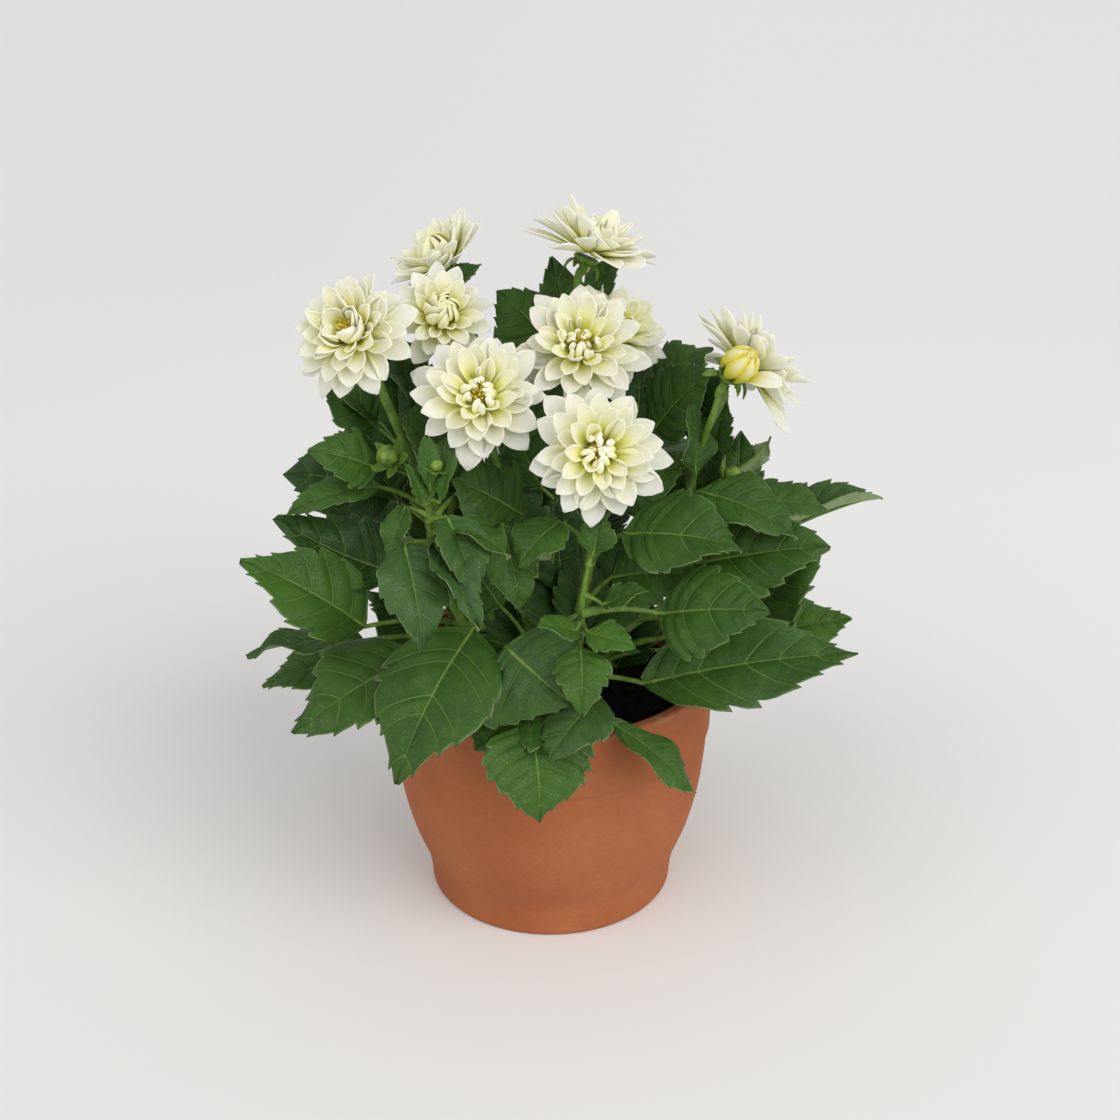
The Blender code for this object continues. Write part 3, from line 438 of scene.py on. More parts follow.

# Petal colours: at the tip, in the heart and at the claw (the last two partly the petals' own yellow-green, partly
# painted warm shade for the deep parts of the bloom), then the share of a pale stripe and of soft light
PETAL_LOOKS = {
    "petal_cream": ((0.94, 0.92, 0.72), (0.93, 0.89, 0.35), (0.58, 0.62, 0.030), 0.0, 0.60),
    "petal_underside": ((0.94, 0.93, 0.77), (0.92, 0.89, 0.44), (0.58, 0.62, 0.05), 0.0, 0.60),
    "petal_yellow_foot": ((0.94, 0.92, 0.74), (0.88, 0.80, 0.22), (0.70, 0.62, 0.04), 0.0, 0.60),
    "petal_rolled": ((0.97, 0.96, 0.78), (0.93, 0.90, 0.42), (0.66, 0.64, 0.08), 0.0, 0.15),
    "petal_closed": ((0.94, 0.92, 0.60), (0.88, 0.84, 0.27), (0.46, 0.50, 0.05), 0.60, 0.15),
    "bud_yellow": ((0.80, 0.70, 0.10), (0.74, 0.62, 0.030), (0.46, 0.48, 0.02), 0.55, 0.30),
}

# Floor, sky, lamps as (place, spread in degrees, power), and the camera, which was fitted to the pot
FLOOR_SIZE = 24
SKY_COLOUR = (0.97, 0.98, 1.0, 1)
SKY_STRENGTH = 0.52
LAMPS = (((0.75, -0.75, 0.75), 50, 1.60), ((-0.8, -0.8, 0.8), 60, 0.88))
LAMP_COLOUR = (1.0, 0.985, 0.955)
CAMERA_PLACE = (0.0044, -0.699, 0.477)
CAMERA_TILT = math.radians(65.85)
CAMERA_LENS = 54.64
CAMERA_SENSOR = 36


# ---- Shared modelling steps


def take_up(thing):
    """Makes one object the only selected and active one."""
    bpy.ops.object.select_all(action="DESELECT")
    thing.select_set(True)
    bpy.context.view_layer.objects.active = thing


def added(operator, **settings):
    """The new object of an add operator, with everything else deselected."""
    bpy.ops.object.select_all(action="DESELECT")
    operator(**settings)
    return bpy.context.active_object


def copy_of(thing):
    """A copy with its own mesh."""
    twin = thing.copy()
    twin.data = thing.data.copy()
    bpy.context.scene.collection.objects.link(twin)
    return twin


def reshape(thing, place_of):
    """Moves every point of a mesh to place_of(point)."""
    for vertex in thing.data.vertices:
        vertex.co = place_of(vertex.co)


def finish_with(thing, kind, **settings):
    """Adds a modifier and applies it."""
    change = thing.modifiers.new(kind.lower(), kind)
    for setting, value in settings.items():
        setattr(change, setting, value)
    take_up(thing)
    bpy.ops.object.modifier_apply(modifier=change.name)


def thickened(piece, thickness, *finishes):
    """Turns shaped sheets into thin closed bodies; a second finish goes on their undersides."""
    for finish in finishes:
        piece.data.materials.append(finish)
    finish_with(piece, "SOLIDIFY", thickness=thickness, offset=-1.0, material_offset=len(finishes) - 1)
    piece.data.shade_smooth()


def joined(name, things):
    """One object made of several."""
    take_up(things[0])
    for thing in things:
        thing.select_set(True)
    bpy.ops.object.join()
    whole = things[0]
    whole.name = name
    whole.data.name = name
    return whole


def smooth_curve(controls, count):
    """Points spread along a Catmull-Rom curve through the controls."""
    ends = [controls[0] * 2 - controls[1], *controls, controls[-1] * 2 - controls[-2]]
    spans = len(controls) - 1
    points = []
    for index in range(count):
        place = spans * index / (count - 1)
        span = min(int(place), spans - 1)
        share = place - span
        before, start, end, after = ends[span:span + 4]
        points.append(0.5 * (
            2 * start
            + (end - before) * share
            + (2 * before - 5 * start + 4 * end - after) * share ** 2
            + (3 * start - before - 3 * end + after) * share ** 3
        ))
    return points


def value_at(table, place):
    """The value of a table of rising (place, value) pairs, in a straight line between them."""
    for (low, start), (high, end) in zip(table, table[1:]):
        if place <= high:
            share = max(0.0, (place - low) / (high - low))
            return start + (end - start) * share
    return table[-1][1]


def flat_sheet(name, rows, columns):
    """A flat grid between -1 and 1 that each blade or petal is shaped from."""
    sheet = added(bpy.ops.mesh.primitive_grid_add, x_subdivisions=rows, y_subdivisions=columns, size=2)
    sheet.name = name
    sheet.hide_render = True
    return sheet


def shaped_from(sheet, rows, columns, shape, **kept):
    """A copy of a flat grid with every point moved by shape(row, column), which also gives its UV place.

    What is kept on the points is a number, or a function of row and column, for each attribute name.
    """
    piece = copy_of(sheet)
    piece.hide_render = False
    mesh = piece.data
    places = []
    uv_of = []
    for vertex in mesh.vertices:
        place = (round((vertex.co.x + 1) / 2 * rows), round((vertex.co.y + 1) / 2 * columns))
        vertex.co, uv = shape(*place)
        places.append(place)
        uv_of.append(uv)
    layer = mesh.uv_layers[0].data
    for loop in mesh.loops:
        layer[loop.index].uv = uv_of[loop.vertex_index]
    for label, value in kept.items():
        attribute = mesh.attributes.new(label, "FLOAT", "POINT")
        numbers = [value(*place) if callable(value) else value for place in places]
        attribute.data.foreach_set("value", numbers)
    return piece


def stalks_from(name, lines):
    """Round stalks along lines of (points, radii), made as one curve and turned into a mesh."""
    curve = bpy.data.curves.new(name, "CURVE")
    curve.dimensions = "3D"
    curve.bevel_depth = 1.0
    curve.bevel_resolution = STALK_DETAIL
    curve.use_fill_caps = True
    for points, radii in lines:
        spline = curve.splines.new("POLY")
        spline.points.add(len(points) - 1)
        for place, point, radius in zip(spline.points, points, radii):
            place.co = (*point, 1.0)
            place.radius = radius
    stalks = bpy.data.objects.new(name, curve)
    bpy.context.scene.collection.objects.link(stalks)
    take_up(stalks)
    bpy.ops.object.convert(target="MESH")
    return bpy.context.active_object


def turned_body(name, profile, sides):
    """A closed body grown ring by ring from a disc, along (radius, height) pairs."""
    radius, height = profile[0]
    body = added(bpy.ops.mesh.primitive_circle_add, vertices=sides, radius=radius, fill_type="NGON",
                 location=(0, 0, height))
    bpy.ops.object.transform_apply(location=True, rotation=True, scale=True)
    bpy.ops.object.mode_set(mode="EDIT")
    bpy.ops.mesh.select_all(action="SELECT")
    for (before, low), (after, high) in zip(profile, profile[1:]):
        bpy.ops.mesh.extrude_region_move(TRANSFORM_OT_translate={"value": (0, 0, high - low)})
        share = after / before
        bpy.ops.transform.resize(value=(share, share, 1), center_override=(0, 0, high))
    bpy.ops.mesh.select_all(action="SELECT")
    bpy.ops.mesh.normals_make_consistent(inside=False)
    bpy.ops.object.mode_set(mode="OBJECT")
    body.name = name
    return body


def dress(piece, node, finish=None):
    """Gives a finished piece its one material, unless it has some, hangs it under the root and hides the model
    part it stands for.
    """
    if finish:
        piece.data.materials.clear()
        piece.data.materials.append(finish)
    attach(piece, "root")
    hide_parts(node)


# ---- Leaves


def row_places(teeth):
    """For each row of a blade its place on the margin, its vein number, and how much of the tooth it keeps."""
    ends = (0.0, *teeth, 1.0)
    rows = []
    for index, (start, end) in enumerate(zip(ends, ends[1:])):
        for share in ROW_SHARES:
            keep = 1.0
            if index and share:
                keep = ((share - ROW_SHARES[1]) / (1 - ROW_SHARES[1])) ** 0.65
            rows.append((start + (end - start) * share, index + share, keep))
    rows.append((1.0, len(ends) - 1.0, 1.0))
    return rows


def midrib_of(leaf):
    """The midrib as a function of the share of the length that gives point, side and upper directions."""
    base = Vector(leaf.base)
    tip = Vector(leaf.tip)
    axis = (tip - base).normalized()
    face = (Vector((0, 0, 1)) - axis * axis.z).normalized()
    face.rotate(Quaternion(axis, math.radians(leaf.roll)))
    middle = (base + tip) / 2 + face * (2 * leaf.arch)

    def midrib(along):
        point = base * (1 - along) ** 2 + middle * (2 * along * (1 - along)) + tip * along ** 2
        tangent = ((middle - base) * (1 - along) + (tip - middle) * along).normalized()
        beside = face.cross(tangent).normalized()
        return point, beside, tangent.cross(beside).normalized()

    return midrib


def leaf_length(leaf):
    return (Vector(leaf.tip) - Vector(leaf.base)).length


def leaf_blade(leaf, sheets, draw):
    """A toothed, quilted blade, waved at its margin and never quite the same twice."""
    midrib = midrib_of(leaf)
    length = leaf_length(leaf)
    large = length > LARGE_LEAF
    lance = leaf.width < LANCE_SHARE * length
    outline = LANCE_OUTLINE if lance else LARGE_OUTLINE if large else SMALL_OUTLINE
    teeth = [place + draw.uniform(-TOOTH_SHIFT, TOOTH_SHIFT) for place in (LARGE_TEETH if large else SMALL_TEETH)]
    rows = row_places(teeth)
    deep = (LARGE_NOTCH if large else SMALL_NOTCH) * (LANCE_TEETH if lance else 1.0)
    notches = [deep * draw.uniform(0.25, 1.60) for _ in range(2 * len(teeth) + 4)]
    fold = math.radians(leaf.fold)
    half_width = leaf.width / 2
    wave = draw.uniform(0.6, 1.4) * min(HIGHEST_WAVE, WAVE_SHARE * length)
    phases = (draw.uniform(0, math.tau), draw.uniform(0, math.tau))
    turns = draw.uniform(1.3, 2.3)
    curl = draw.uniform(-0.3, 1.0) * 0.05 * length
    droop = draw.uniform(-0.04, 0.22)
    twist = math.radians(draw.uniform(-14, 14))
    sweep = draw.uniform(-0.035, 0.035) * length
    quilt = QUILT * min(1.0, leaf.width / QUILT_WIDTH)
    sides = (1 + draw.uniform(-0.05, 0.05), 1 + draw.uniform(-0.05, 0.05))
    middle_column = BLADE_COLUMNS // 2

    def shape(row, column):
        place, vein, keep = rows[row]
        right = column >= middle_column
        side = 1 if right else -1
        across = ACROSS_PLACES[abs(column - middle_column)]
        margin = across ** 7
        start = place ** VEIN_SLANT
        along = start + (place - start) * across ** VEIN_CURVE
        if 0.0 < place < 1.0 and vein == int(vein):
            along += TOOTH_REACH * margin
        notch = notches[int(vein) * 2 + right]
        wide = value_at(outline, place) * (1 - notch * (1 - keep) * margin) * sides[right]
        point, beside, upper = midrib(along)
        reach = half_width * wide * across
        height = reach * math.sin(fold) - droop * reach * across
        height += quilt * math.sin(math.pi * (vein % 1.0)) ** 0.7 * math.sin(math.pi * across ** 0.8)
        height -= MIDRIB_GROOVE * (1 - min(1.0, across / GROOVE_SHARE)) * (1 - along)
        height += wave * across ** 2 * math.sin(math.tau * turns * along + phases[right])
        height -= curl * max(0.0, along - CURL_START) ** 2 * 4
        turn = twist * along
        out = side * reach * math.cos(fold)
        out, height = (out * math.cos(turn) - height * math.sin(turn),
                       out * math.sin(turn) + height * math.cos(turn))
        out += sweep * (along * (1 - along) * 4) * 0.5
        return point + beside * out + upper * height, (vein / (len(teeth) + 1), 0.5 + 0.5 * side * across)

    def tooth_tip(row, column):
        vein = rows[row][1]
        at_margin = column in (0, BLADE_COLUMNS)
        return 1.0 if at_margin and vein > 0 and vein == int(vein) or row == len(rows) - 1 else 0.0

    # How light the green is: partly the leaf's own tone, partly painted shade, varied a little at random
    shade = min(1.0, max(0.0, leaf.shade + draw.uniform(-0.10, 0.10)))
    return shaped_from(sheets[large], len(rows) - 1, BLADE_COLUMNS, shape, shade=shade, dull=leaf.dull,
                       tooth_tip=tooth_tip, veins=len(teeth) + 1.0)


def leaf_stalk(leaf, stem_points):
    """Points and radii of a leaf's stalk, which runs on under the blade as its midrib."""
    midrib = midrib_of(leaf)
    joint = point_at_height(stem_points, leaf.joint)
    base = midrib(0.0)[0]
    thick = min(1.0, THINNEST_STALK + leaf_length(leaf) / THICK_STALK_LENGTH)
    bend = (joint + base) / 2 + Vector((0, 0, STALK_ARCH * (base - joint).length))
    points = []
    radii = []
    for index in range(STALK_STEPS + 1):
        share = index / STALK_STEPS
        points.append(joint * (1 - share) ** 2 + bend * (2 * share * (1 - share)) + base * share ** 2)
        radii.append(thick * (STALK_FLARE * (1 - share) ** 3 + STALK_RADIUS))
    for index in range(1, MIDRIB_STEPS + 1):
        along = MIDRIB_REACH * index / MIDRIB_STEPS
        point, _, upper = midrib(along)
        radius = thick * (MIDRIB_RADIUS * (1 - along) + MIDRIB_END)
        points.append(point - upper * (radius * 0.75 + BLADE_THICKNESS))
        radii.append(radius)
    return points, radii


# ---- Stems


def point_at_height(points, height):
    """Where a rising line of points reaches a height."""
    for low, high in zip(points, points[1:]):
        if low.z <= height <= high.z:
            return low.lerp(high, (height - low.z) / (high.z - low.z))
    return points[-1]


def axis_of(bloom):
    return Vector(bloom.axis).normalized()


def seat_of(bloom):
    """The middle of the flat top of the calyx that carries a bloom."""
    return Vector(bloom.centre) - axis_of(bloom) * SEAT_DEPTH


def stem_line(stem):
    """The stem's points from its foot in the soil to the underside of its calyx or its tip."""
    foot = stem.path[0]
    controls = [Vector((*foot, STEM_STRAIGHT))] + [Vector(place) for place in stem.path[1:]]
    if stem.bloom:
        axis = axis_of(BLOOMS[stem.bloom])
        under = seat_of(BLOOMS[stem.bloom]) - axis * CALYX_HEIGHT
        controls += [under - axis * CALYX_NECK, under]
    points = smooth_curve(controls, 8 * len(controls))
    return [Vector((*foot, STEM_FOOT)), *points]


def with_calyx(points, radii, bloom, rings):
    """A stalk's points and radii with the rings of a calyx added under a bloom's seat."""
    axis = axis_of(bloom)
    seat = seat_of(bloom)
    return points + [seat - axis * depth for depth, _ in rings], radii + [radius for _, radius in rings]


def main_stalk(stem, points):
    """Points and radii of a stem, swollen at its leaf joints, with its calyx."""
    last = len(points) - 1
    taper = BLOOM_TAPER if stem.bloom else SHOOT_TAPER
    radii = []
    for index, point in enumerate(points):
        swelling = max(math.exp(-((point.z - leaf.joint) / JOINT_HEIGHT) ** 2) for leaf in stem.leaves)
        radii.append(stem.radius * (STEM_SWELL - taper * index / last) * (1 + JOINT_SWELL * swelling))
    return with_calyx(points, radii, BLOOMS[stem.bloom], CALYX_RINGS) if stem.bloom else (points, radii)


def opening_bud_stalk(joint):
    """Points and radii of the opening bud's side stalk and calyx."""
    under = seat_of(OPENING_BUD) - axis_of(OPENING_BUD) * CALYX_HEIGHT
    middle = joint.lerp(under, 0.5) + Vector((0, BUD_STALK_BOW, 0))
    points = smooth_curve([joint, middle, under], STALK_STEPS + 1)
    radii = [BUD_STALK_RADIUS - BUD_STALK_TAPER * index / STALK_STEPS for index in range(STALK_STEPS + 1)]
    return with_calyx(points, radii, OPENING_BUD, BUD_CALYX_RINGS)


def closed_bud(centre, axis, radius):
    """A round closed bud with shallow seams between its scales."""
    bud = added(bpy.ops.mesh.primitive_uv_sphere_add, segments=20, ring_count=12, radius=radius)
    turn = Vector((0, 0, 1)).rotation_difference(axis)

    def place_of(point):
        angle = math.atan2(point.y, point.x)
        height = point.z / radius
        seam = 1 - 0.20 * (0.5 - 0.5 * math.cos(7 * angle + 2.0 * height)) ** 2 * (1 - height ** 6)
        flat = 1 - 0.22 * max(0.0, height) ** 3
        return turn @ Vector((point.x * seam, point.y * seam, point.z * flat)) + centre

    reshape(bud, place_of)
    return bud


def bract(sheet, seat, axis, turn, start, length, width, rise, bend):
    """A small green scale that leaves the calyx and curls back."""
    return petal(sheet, seat, axis, turn, start, length, width, rise, bend, 0.5, BRACT_OUTLINE, 0.0)


def bracts_round(sheet, bloom, size, draw):
    """The loose ring of green bracts under a bloom or a bud."""
    axis = axis_of(bloom)
    seat = seat_of(bloom) - axis * BRACT_DEPTH
    scales = []
    for index in range(BRACTS):
        turn = math.tau * index / BRACTS + draw.uniform(-0.25, 0.25)
        rise = math.radians(draw.uniform(-35, -5))
        bend = math.radians(draw.uniform(-75, -30))
        length = size * draw.uniform(0.85, 1.1)
        scales.append(bract(sheet, seat, axis, turn, BRACT_START, length, BRACT_WIDTH * size, rise, bend))
    return scales


def green_bud(sheet, joint, centre, radius):
    """A closed bud with the line of its stalk and the bracts that hug it."""
    axis = (centre - joint).normalized()
    line = [joint, joint.lerp(centre, 0.5), centre - axis * radius * 0.7]
    seat = centre - axis * radius * 0.85
    scales = [bract(sheet, seat, axis, math.tau * index / BRACTS, (0.30 * radius, 0.0), 2.1 * radius,
                    1.05 * radius, math.radians(-5), math.radians(60)) for index in range(BRACTS)]
    return closed_bud(centre, axis, radius), (line, GREEN_BUD_STALK), scales


# ---- Petals


def petal(sheet, seat, axis, turn, start, length, width, rise, bend, curl, outline, heart, lean=0.0):
    """One petal, bent along its length and rolled up across it.

    The start is (distance from the axis, height above the seat), the rise is its angle from the disc's
    plane, the bend is how much that angle grows to the tip, the curl is half the angle of its roll, and
    the lean is how far it has turned about its own length at the tip.
    """
    outward = Quaternion(axis, turn) @ axis.orthogonal().normalized()
    beside = axis.cross(outward)

    def shape(row, column):
        along = row / PETAL_ROWS
        across = 2 * column / PETAL_COLUMNS - 1
        angle = rise + bend * along
        run = (math.sin(angle) - math.sin(rise)) / bend
        lift = (math.cos(rise) - math.cos(angle)) / bend
        upper = axis * math.cos(angle) - outward * math.sin(angle)
        half = width / 2 * value_at(outline, along)
        arc = curl * (1.3 - (0.45 if curl < 1.5 else 0.06) * along)
        sideways = half * math.sin(arc * across) / arc
        height = half * (1 - math.cos(arc * across)) / arc
        height += 0.035 * half * math.cos(math.tau * across) * math.sin(math.pi * along)
        slope = lean * along
        sideways += 0.16 * lean * length * along ** 2
        sideways, height = (sideways * math.cos(slope) - height * math.sin(slope),
                            sideways * math.sin(slope) + height * math.cos(slope))
        point = seat + outward * (start[0] + length * run) + axis * (start[1] + length * lift)
        return point + beside * sideways + upper * height, (along, 0.5 + 0.5 * across)

    return shaped_from(sheet, PETAL_ROWS, PETAL_COLUMNS, shape, heart=heart)


def closed_rings(sheet, bloom, rings, seed, height=0.0, lean=0.0):
    """Rings of petals that hug a bud.

    With a lean they overlap like the blades of a fan, as in a heart that is about to open.
    """
    draw = random.Random(seed)
    petals = []
    for ring, (count, inward, length, width, rise, bend) in enumerate(rings):
        start = (inward, CLAW_LIFT + RING_STEP * ring + height)
        for index in range(count):
            turn = math.tau * (index + 0.5 * ring) / count + draw.uniform(-0.12, 0.12)
            petals.append(petal(sheet, seat_of(bloom), axis_of(bloom), turn, start, length, width,
                                math.radians(rise), math.radians(bend), 1.0, PETAL_OUTLINE, 0.3 + 0.1 * ring,
                                lean))
    return petals


def heart_petals(sheet, bloom, rings, rises, bends, curls, outline):
    """The short petals round the florets in uneven rings: rolled into hooked fingers, or standing up."""
    draw = random.Random(bloom.spin + 2)
    petals = []
    for count, inward, height, length, width in rings:
        first = draw.uniform(0, math.tau)
        for index in range(count):
            turn = first + math.tau * index / count + draw.uniform(-0.28, 0.28)
            rise = math.radians(draw.uniform(*rises))
            bend = math.radians(draw.uniform(*bends))
            start = (inward * draw.uniform(0.85, 1.15), height + draw.uniform(-0.0006, 0.0008))
            long = bloom.radius * length * draw.uniform(0.74, 1.20)
            wide = bloom.radius * width * draw.uniform(0.75, 1.35)
            petals.append(petal(sheet, seat_of(bloom), axis_of(bloom), turn, start, long, wide, rise, bend,
                                draw.uniform(*curls), outline, 0.2, draw.uniform(-0.5, 0.5)))
    return petals


def bloom_petals(sheet, bloom):
    """The broad petals of a bloom, from the lowest ring to the heart, none of them inside the opening bud."""
    draw = random.Random(bloom.spin)
    petals = []
    for index in range(bloom.petals):
        turn = math.radians(bloom.spin) + index * GOLDEN_ANGLE + math.radians(draw.uniform(-10, 10))
        share = index / (bloom.petals - 1)
        opening = bloom.lowest + (bloom.highest - bloom.lowest) * share ** 1.10
        opening = math.radians(opening + draw.uniform(-8, 8) * bloom.loose)
        reach = bloom.radius * (1.0 - 0.54 * share ** 1.2) * draw.uniform(0.89, 1.02)
        width = bloom.slim * bloom.radius * (0.385 - 0.150 * share ** 1.5) * draw.uniform(0.88, 1.10)
        bend = math.radians(-16 + 46 * share + draw.uniform(-9, 9))
        start = (CLAW_PLACE - CLAW_CLOSER * share, CLAW_LIFT + CLAW_HIGHER * share)
        length = (reach - start[0]) / max(0.62, math.cos(opening))
        lean = draw.uniform(-0.60, 0.60) * bloom.loose * (1 - 0.4 * share)
        petals.append(petal(sheet, seat_of(bloom), axis_of(bloom), turn, start, length, width, opening - bend / 2,
                            bend, bloom.slim * (0.42 + 0.62 * share), PETAL_OUTLINE, 0.7 * share, lean))
    bud_middle = Vector(OPENING_BUD.centre) + axis_of(OPENING_BUD) * BUD_MIDDLE
    for piece in list(petals):
        if min((vertex.co - bud_middle).length for vertex in piece.data.vertices) < BUD_ROOM:
            petals.remove(piece)
            bpy.data.objects.remove(piece)
    return petals


def bloom_florets(bloom):
    """The small ochre buds that fill the heart of a bloom, on a low dome."""
    draw = random.Random(bloom.spin + 1)
    seat = seat_of(bloom)
    upright = Vector((0, 0, 1))
    turn = upright.rotation_difference(axis_of(bloom))
    dome = added(bpy.ops.mesh.primitive_uv_sphere_add, segments=16, ring_count=8, radius=1)
    reshape(dome, lambda point: turn @ Vector((
        point.x * DOME_RADIUS, point.y * DOME_RADIUS,
        DOME_LIFT + point.z * DOME_HEIGHT * (0.4 if point.z < 0 else 1.0))) + seat)
    pieces = [dome]
    drop = added(bpy.ops.mesh.primitive_uv_sphere_add, segments=8, ring_count=6, radius=1)
    for index in range(FLORETS):
        reach = FLORET_REACH * math.sqrt((index + 0.5) / FLORETS)
        angle = index * GOLDEN_ANGLE
        centre = Vector((reach * math.cos(angle), reach * math.sin(angle), FLORET_LIFT - 0.20 * reach))
        tilt = upright.rotation_difference(Vector((centre.x * 0.5, centre.y * 0.5, 0.0060)).normalized())
        thick = FLORET_THICKNESS * draw.uniform(0.85, 1.15)

        def place_of(point):
            taper = 1 - 0.35 * point.z
            local = tilt @ Vector((point.x * thick * taper, point.y * thick * taper, point.z * FLORET_LENGTH))
            return turn @ (centre + local) + seat

        floret = copy_of(drop)
        reshape(floret, place_of)
        pieces.append(floret)
    bpy.data.objects.remove(drop)
    return pieces


# ---- Pot and soil


def make_pot(finish):
    """The turned pot: foot, belly, collar and rounded rim outside, the wall and floor inside, drain holes last."""
    belly = smooth_curve([Vector((radius, height, 0)) for radius, height in POT_BELLY], BELLY_POINTS)
    angles = [math.radians(90 * step / LIP_STEPS) for step in range(LIP_STEPS + 1)]
    lip = [(RIM_LIP * (1 - math.cos(angle)), POT_HEIGHT - RIM_LIP * (1 - math.sin(angle))) for angle in angles]
    profile = [*POT_FOOT, *((point.x, point.y) for point in belly[1:]), *POT_COLLAR,
               *((RIM_RADIUS - inset, height) for inset, height in lip),
               *((RIM_RADIUS - WALL + inset, height) for inset, height in reversed(lip)), *POT_INSIDE]
    pot = turned_body("pot", profile, POT_SIDES)
    for index in range(DRAIN_HOLES):
        angle = math.tau * (index + 0.5) / DRAIN_HOLES
        place = (DRAIN_PLACE * math.cos(angle), DRAIN_PLACE * math.sin(angle), FLOOR / 2)
        cutter = added(bpy.ops.mesh.primitive_cylinder_add, vertices=32, radius=DRAIN_RADIUS, depth=4 * FLOOR,
                       location=place)
        finish_with(pot, "BOOLEAN", operation="DIFFERENCE", object=cutter, solver="EXACT")
        bpy.data.objects.remove(cutter)
    take_up(pot)
    bpy.ops.object.shade_smooth_by_angle(angle=math.radians(40))
    dress(pot, "terracotta_pot", finish)


def soil_height(x, y):
    """How far the soil's top stands above or below its level at a place."""
    coarse = noise.noise(Vector((x, y, 0.3)) * 90)
    fine = noise.noise(Vector((x, y, 1.7)) * 310)
    return SOIL_LUMP * (coarse + 0.5 * fine)


def make_soil(finish):
    """The soil bed, which fits the pot's inside and is lumpy on top."""
    edge = SOIL_WALL[-1][0]
    top = [(edge * (0.985 - 0.96 * index / SOIL_RINGS), SOIL_TOP) for index in range(SOIL_RINGS)]
    soil = turned_body("soil_bed", [*SOIL_WALL, (edge, SOIL_TOP - SOIL_EDGE), *top], SOIL_SIDES)
    for vertex in soil.data.vertices:
        place = vertex.co
        if place.z > SOIL_TOP - 1.1 * SOIL_EDGE:
            place.z += soil_height(place.x, place.y)
    take_up(soil)
    bpy.ops.object.shade_smooth_by_angle(angle=math.radians(60))
    dress(soil, "soil", finish)


def make_crumbs(finish):
    """Loose crumbs on the soil."""
    draw = random.Random(CRUMB_SEED)
    lump = added(bpy.ops.mesh.primitive_ico_sphere_add, subdivisions=1, radius=1)
    crumbs = []
    for _ in range(CRUMBS):
        reach = CRUMB_REACH * math.sqrt(draw.random())
        angle = draw.uniform(0, math.tau)
        x, y = reach * math.cos(angle), reach * math.sin(angle)
        size = SMALLEST_CRUMB + CRUMB_RANGE * draw.random() ** 2.5
        centre = Vector((x, y, SOIL_TOP + soil_height(x, y) + size * 0.3))
        axis = Vector((draw.uniform(-1, 1), draw.uniform(-1, 1), draw.uniform(-1, 1))).normalized()
        turn = Quaternion(axis, draw.uniform(0, math.tau))
        scale = Vector((draw.uniform(0.7, 1.5), draw.uniform(0.7, 1.1), draw.uniform(0.5, 0.9))) * size
        crumb = copy_of(lump)
        reshape(crumb, lambda point: turn @ (point * scale) + centre)
        crumbs.append(crumb)
    bpy.data.objects.remove(lump)
    dress(joined("soil_crumbs", crumbs), "soil", finish)


# ---- Materials. Colours are linear red, green and blue


def new_finish(name, roughness, gloss, **constants):
    """A material with its node tree and main shader, constants set on the shader's own sockets."""
    finish = bpy.data.materials.new(name)
    finish.use_nodes = True
    tree = finish.node_tree
    shader = tree.nodes["Principled BSDF"]
    shader.inputs["Roughness"].default_value = roughness
    shader.inputs["Specular IOR Level"].default_value = gloss
    for socket, value in constants.items():
        shader.inputs[socket.replace("_", " ")].default_value = value
    return finish, tree, shader


def put(tree, socket, value):
    """Links a node's output into a socket, or sets the socket's number or colour."""
    if isinstance(value, bpy.types.NodeSocket):
        tree.links.new(value, socket)
    else:
        socket.default_value = (*value, 1) if isinstance(value, tuple) else value


def sums(tree, operation, first, second=0.0, third=0.0, clamp=False):
    """The result of a sum on up to three sockets or numbers."""
    node = tree.nodes.new("ShaderNodeMath")
    node.operation = operation
    node.use_clamp = clamp
    for socket, value in zip(node.inputs, (first, second, third)):
        put(tree, socket, value)
    return node.outputs[0]


def times(tree, first, second):
    return sums(tree, "MULTIPLY", first, second)


def eased(tree, value, low, high, start=0.0, end=1.0):
    """The value's place between low and high, eased, as a number from start to end."""
    node = tree.nodes.new("ShaderNodeMapRange")
    node.interpolation_type = "SMOOTHSTEP"
    for socket, number in zip(("From Min", "From Max", "To Min", "To Max"), (low, high, start, end)):
        node.inputs[socket].default_value = number
    put(tree, node.inputs["Value"], value)
    return node.outputs["Result"]


def blended(tree, share, first, second):
    """Two colours mixed by a share."""
    node = tree.nodes.new("ShaderNodeMix")
    node.data_type = "RGBA"
    for socket, value in (("Factor", share), ("A", first), ("B", second)):
        put(tree, node.inputs[socket], value)
    return node.outputs["Result"]


def coloured(tree, shader, base, *layers):
    """Gives the shader a base colour under layers of (share, colour)."""
    for share, colour in layers:
        base = blended(tree, share, base, colour)
    put(tree, shader.inputs["Base Color"], base)


def own_place(tree):
    """The place on the object in its own coordinates."""
    return tree.nodes.new("ShaderNodeTexCoord").outputs["Object"]


def parts_of(tree, vector):
    """The X, Y and Z of a vector."""
    split = tree.nodes.new("ShaderNodeSeparateXYZ")
    tree.links.new(vector, split.inputs["Vector"])
    return split.outputs


def mottle(tree, scale, detail=4.0, roughness=0.55):
    """Soft noise in the object's own coordinates."""
    node = tree.nodes.new("ShaderNodeTexNoise")
    values = (("Scale", scale), ("Detail", detail), ("Roughness", roughness), ("Vector", own_place(tree)))
    for socket, value in values:
        put(tree, node.inputs[socket], value)
    return node.outputs["Fac"]


def speckles(tree, scale, detail, low, high, most=1.0):
    """Patches of noise that stand out by the given share at most."""
    return eased(tree, mottle(tree, scale, detail), low, high, 0.0, most)


def fine_net(tree, width):
    """The net of the finest veins, as the edges of small cells."""
    node = tree.nodes.new("ShaderNodeTexVoronoi")
    node.feature = "DISTANCE_TO_EDGE"
    node.inputs["Scale"].default_value = 620
    tree.links.new(own_place(tree), node.inputs["Vector"])
    return eased(tree, node.outputs["Distance"], 0.0, width, 1.0, 0.0)


